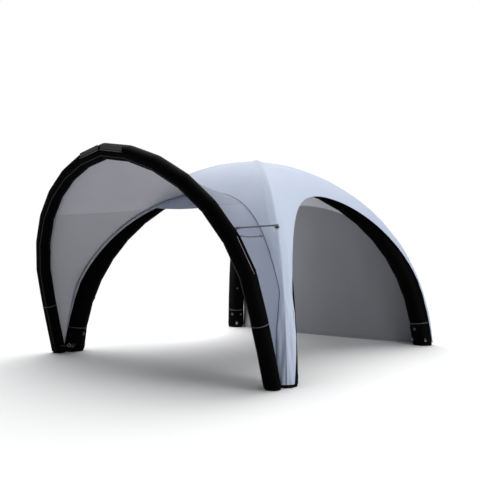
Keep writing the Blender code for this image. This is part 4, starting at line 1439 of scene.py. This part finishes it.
view = {
    "place": (6.949, -8.455, 1.757), "turn": (91.23, 0, 38.93), "lens": 45.62, "sensor": 36,
    "reach": 300,
}
studio = {
    "floorSize": 400, "floor": (0.78, 0.78, 0.78), "floorBounce": (0.52, 0.52, 0.53),
    "backdrop": 1.0, "fill": 0.15, "fillTint": (0.93, 0.96, 1.0),
    "sun": {"from": (-0.32, 0.3, 1.0), "strength": 4.0, "spread": 75},
    "right": {"place": (10, 0, 3), "aim": (0, 0, 1.8), "size": 5, "watts": 450},
    "left": {"place": (-3.3, 1.0, 1.0), "aim": (-0.3, 3.3, 0.8), "size": 1.2, "watts": 46},
}


def stageObject(name, data):
    made = bpy.data.objects.new(name, data)
    bpy.context.scene.collection.objects.link(made)
    return made


def aimed(lamp, way):
    lamp.rotation_euler = way.to_track_quat("-Z", "Y").to_euler()


def sunLight(name, settings):
    light = bpy.data.lights.new(name, "SUN")
    light.energy = settings["strength"]
    light.angle = math.radians(settings["spread"])
    aimed(stageObject(name, light), -Vector(settings["from"]))


def softBox(name, settings):
    light = bpy.data.lights.new(name, "AREA")
    light.size = settings["size"]
    light.energy = settings["watts"]
    lamp = stageObject(name, light)
    lamp.location = settings["place"]
    lamp.visible_camera = False
    aimed(lamp, Vector(settings["aim"]) - Vector(settings["place"]))


lens = bpy.data.cameras.new("camera")
lens.lens = view["lens"]
lens.sensor_width = view["sensor"]
lens.clip_end = view["reach"]
camera = stageObject("camera", lens)
camera.location = view["place"]
camera.rotation_euler = [math.radians(angle) for angle in view["turn"]]
bpy.context.scene.camera = camera

sunLight("overhead", studio["sun"])
softBox("right", studio["right"])
softBox("left", studio["left"])
world = bpy.data.worlds.new("studio")
world.use_nodes = True
sky = world.node_tree
fill = sky.nodes["Background"]
feed(sky, fill.inputs, {"Color": (*studio["fillTint"], 1), "Strength": studio["fill"]})
plain = {"Color": (1, 1, 1, 1), "Strength": studio["backdrop"]}
backdrop = addNode(sky, "Background", plain)[0]
seen = addNode(sky, "LightPath")["Is Camera Ray"]
choice = addNode(sky, "MixShader", {0: seen, 1: fill.outputs[0], 2: backdrop})[0]
feed(sky, sky.nodes["World Output"].inputs, {"Surface": choice})
bpy.context.scene.world = world
bpy.context.scene.view_settings.view_transform = "Standard"

floorBm = bmesh.new()
bmesh.ops.create_grid(floorBm, x_segments=1, y_segments=1, size=studio["floorSize"] / 2)
floorMesh = bpy.data.meshes.new("floor")
floorBm.to_mesh(floorMesh)
floorBm.free()
floorPaint, floorTree, floorShader = newMaterial("floorPaint")
floorSeen = addNode(floorTree, "LightPath")["Is Camera Ray"]
floorTone = twoTones(floorTree, floorSeen, studio["floorBounce"], studio["floor"])
matt = {"Base Color": floorTone, "Specular IOR Level": 0.0, "Roughness": 0.9}
feed(floorTree, floorShader, matt)
floorMesh.materials.append(floorPaint)
floor = stageObject("floor", floorMesh)
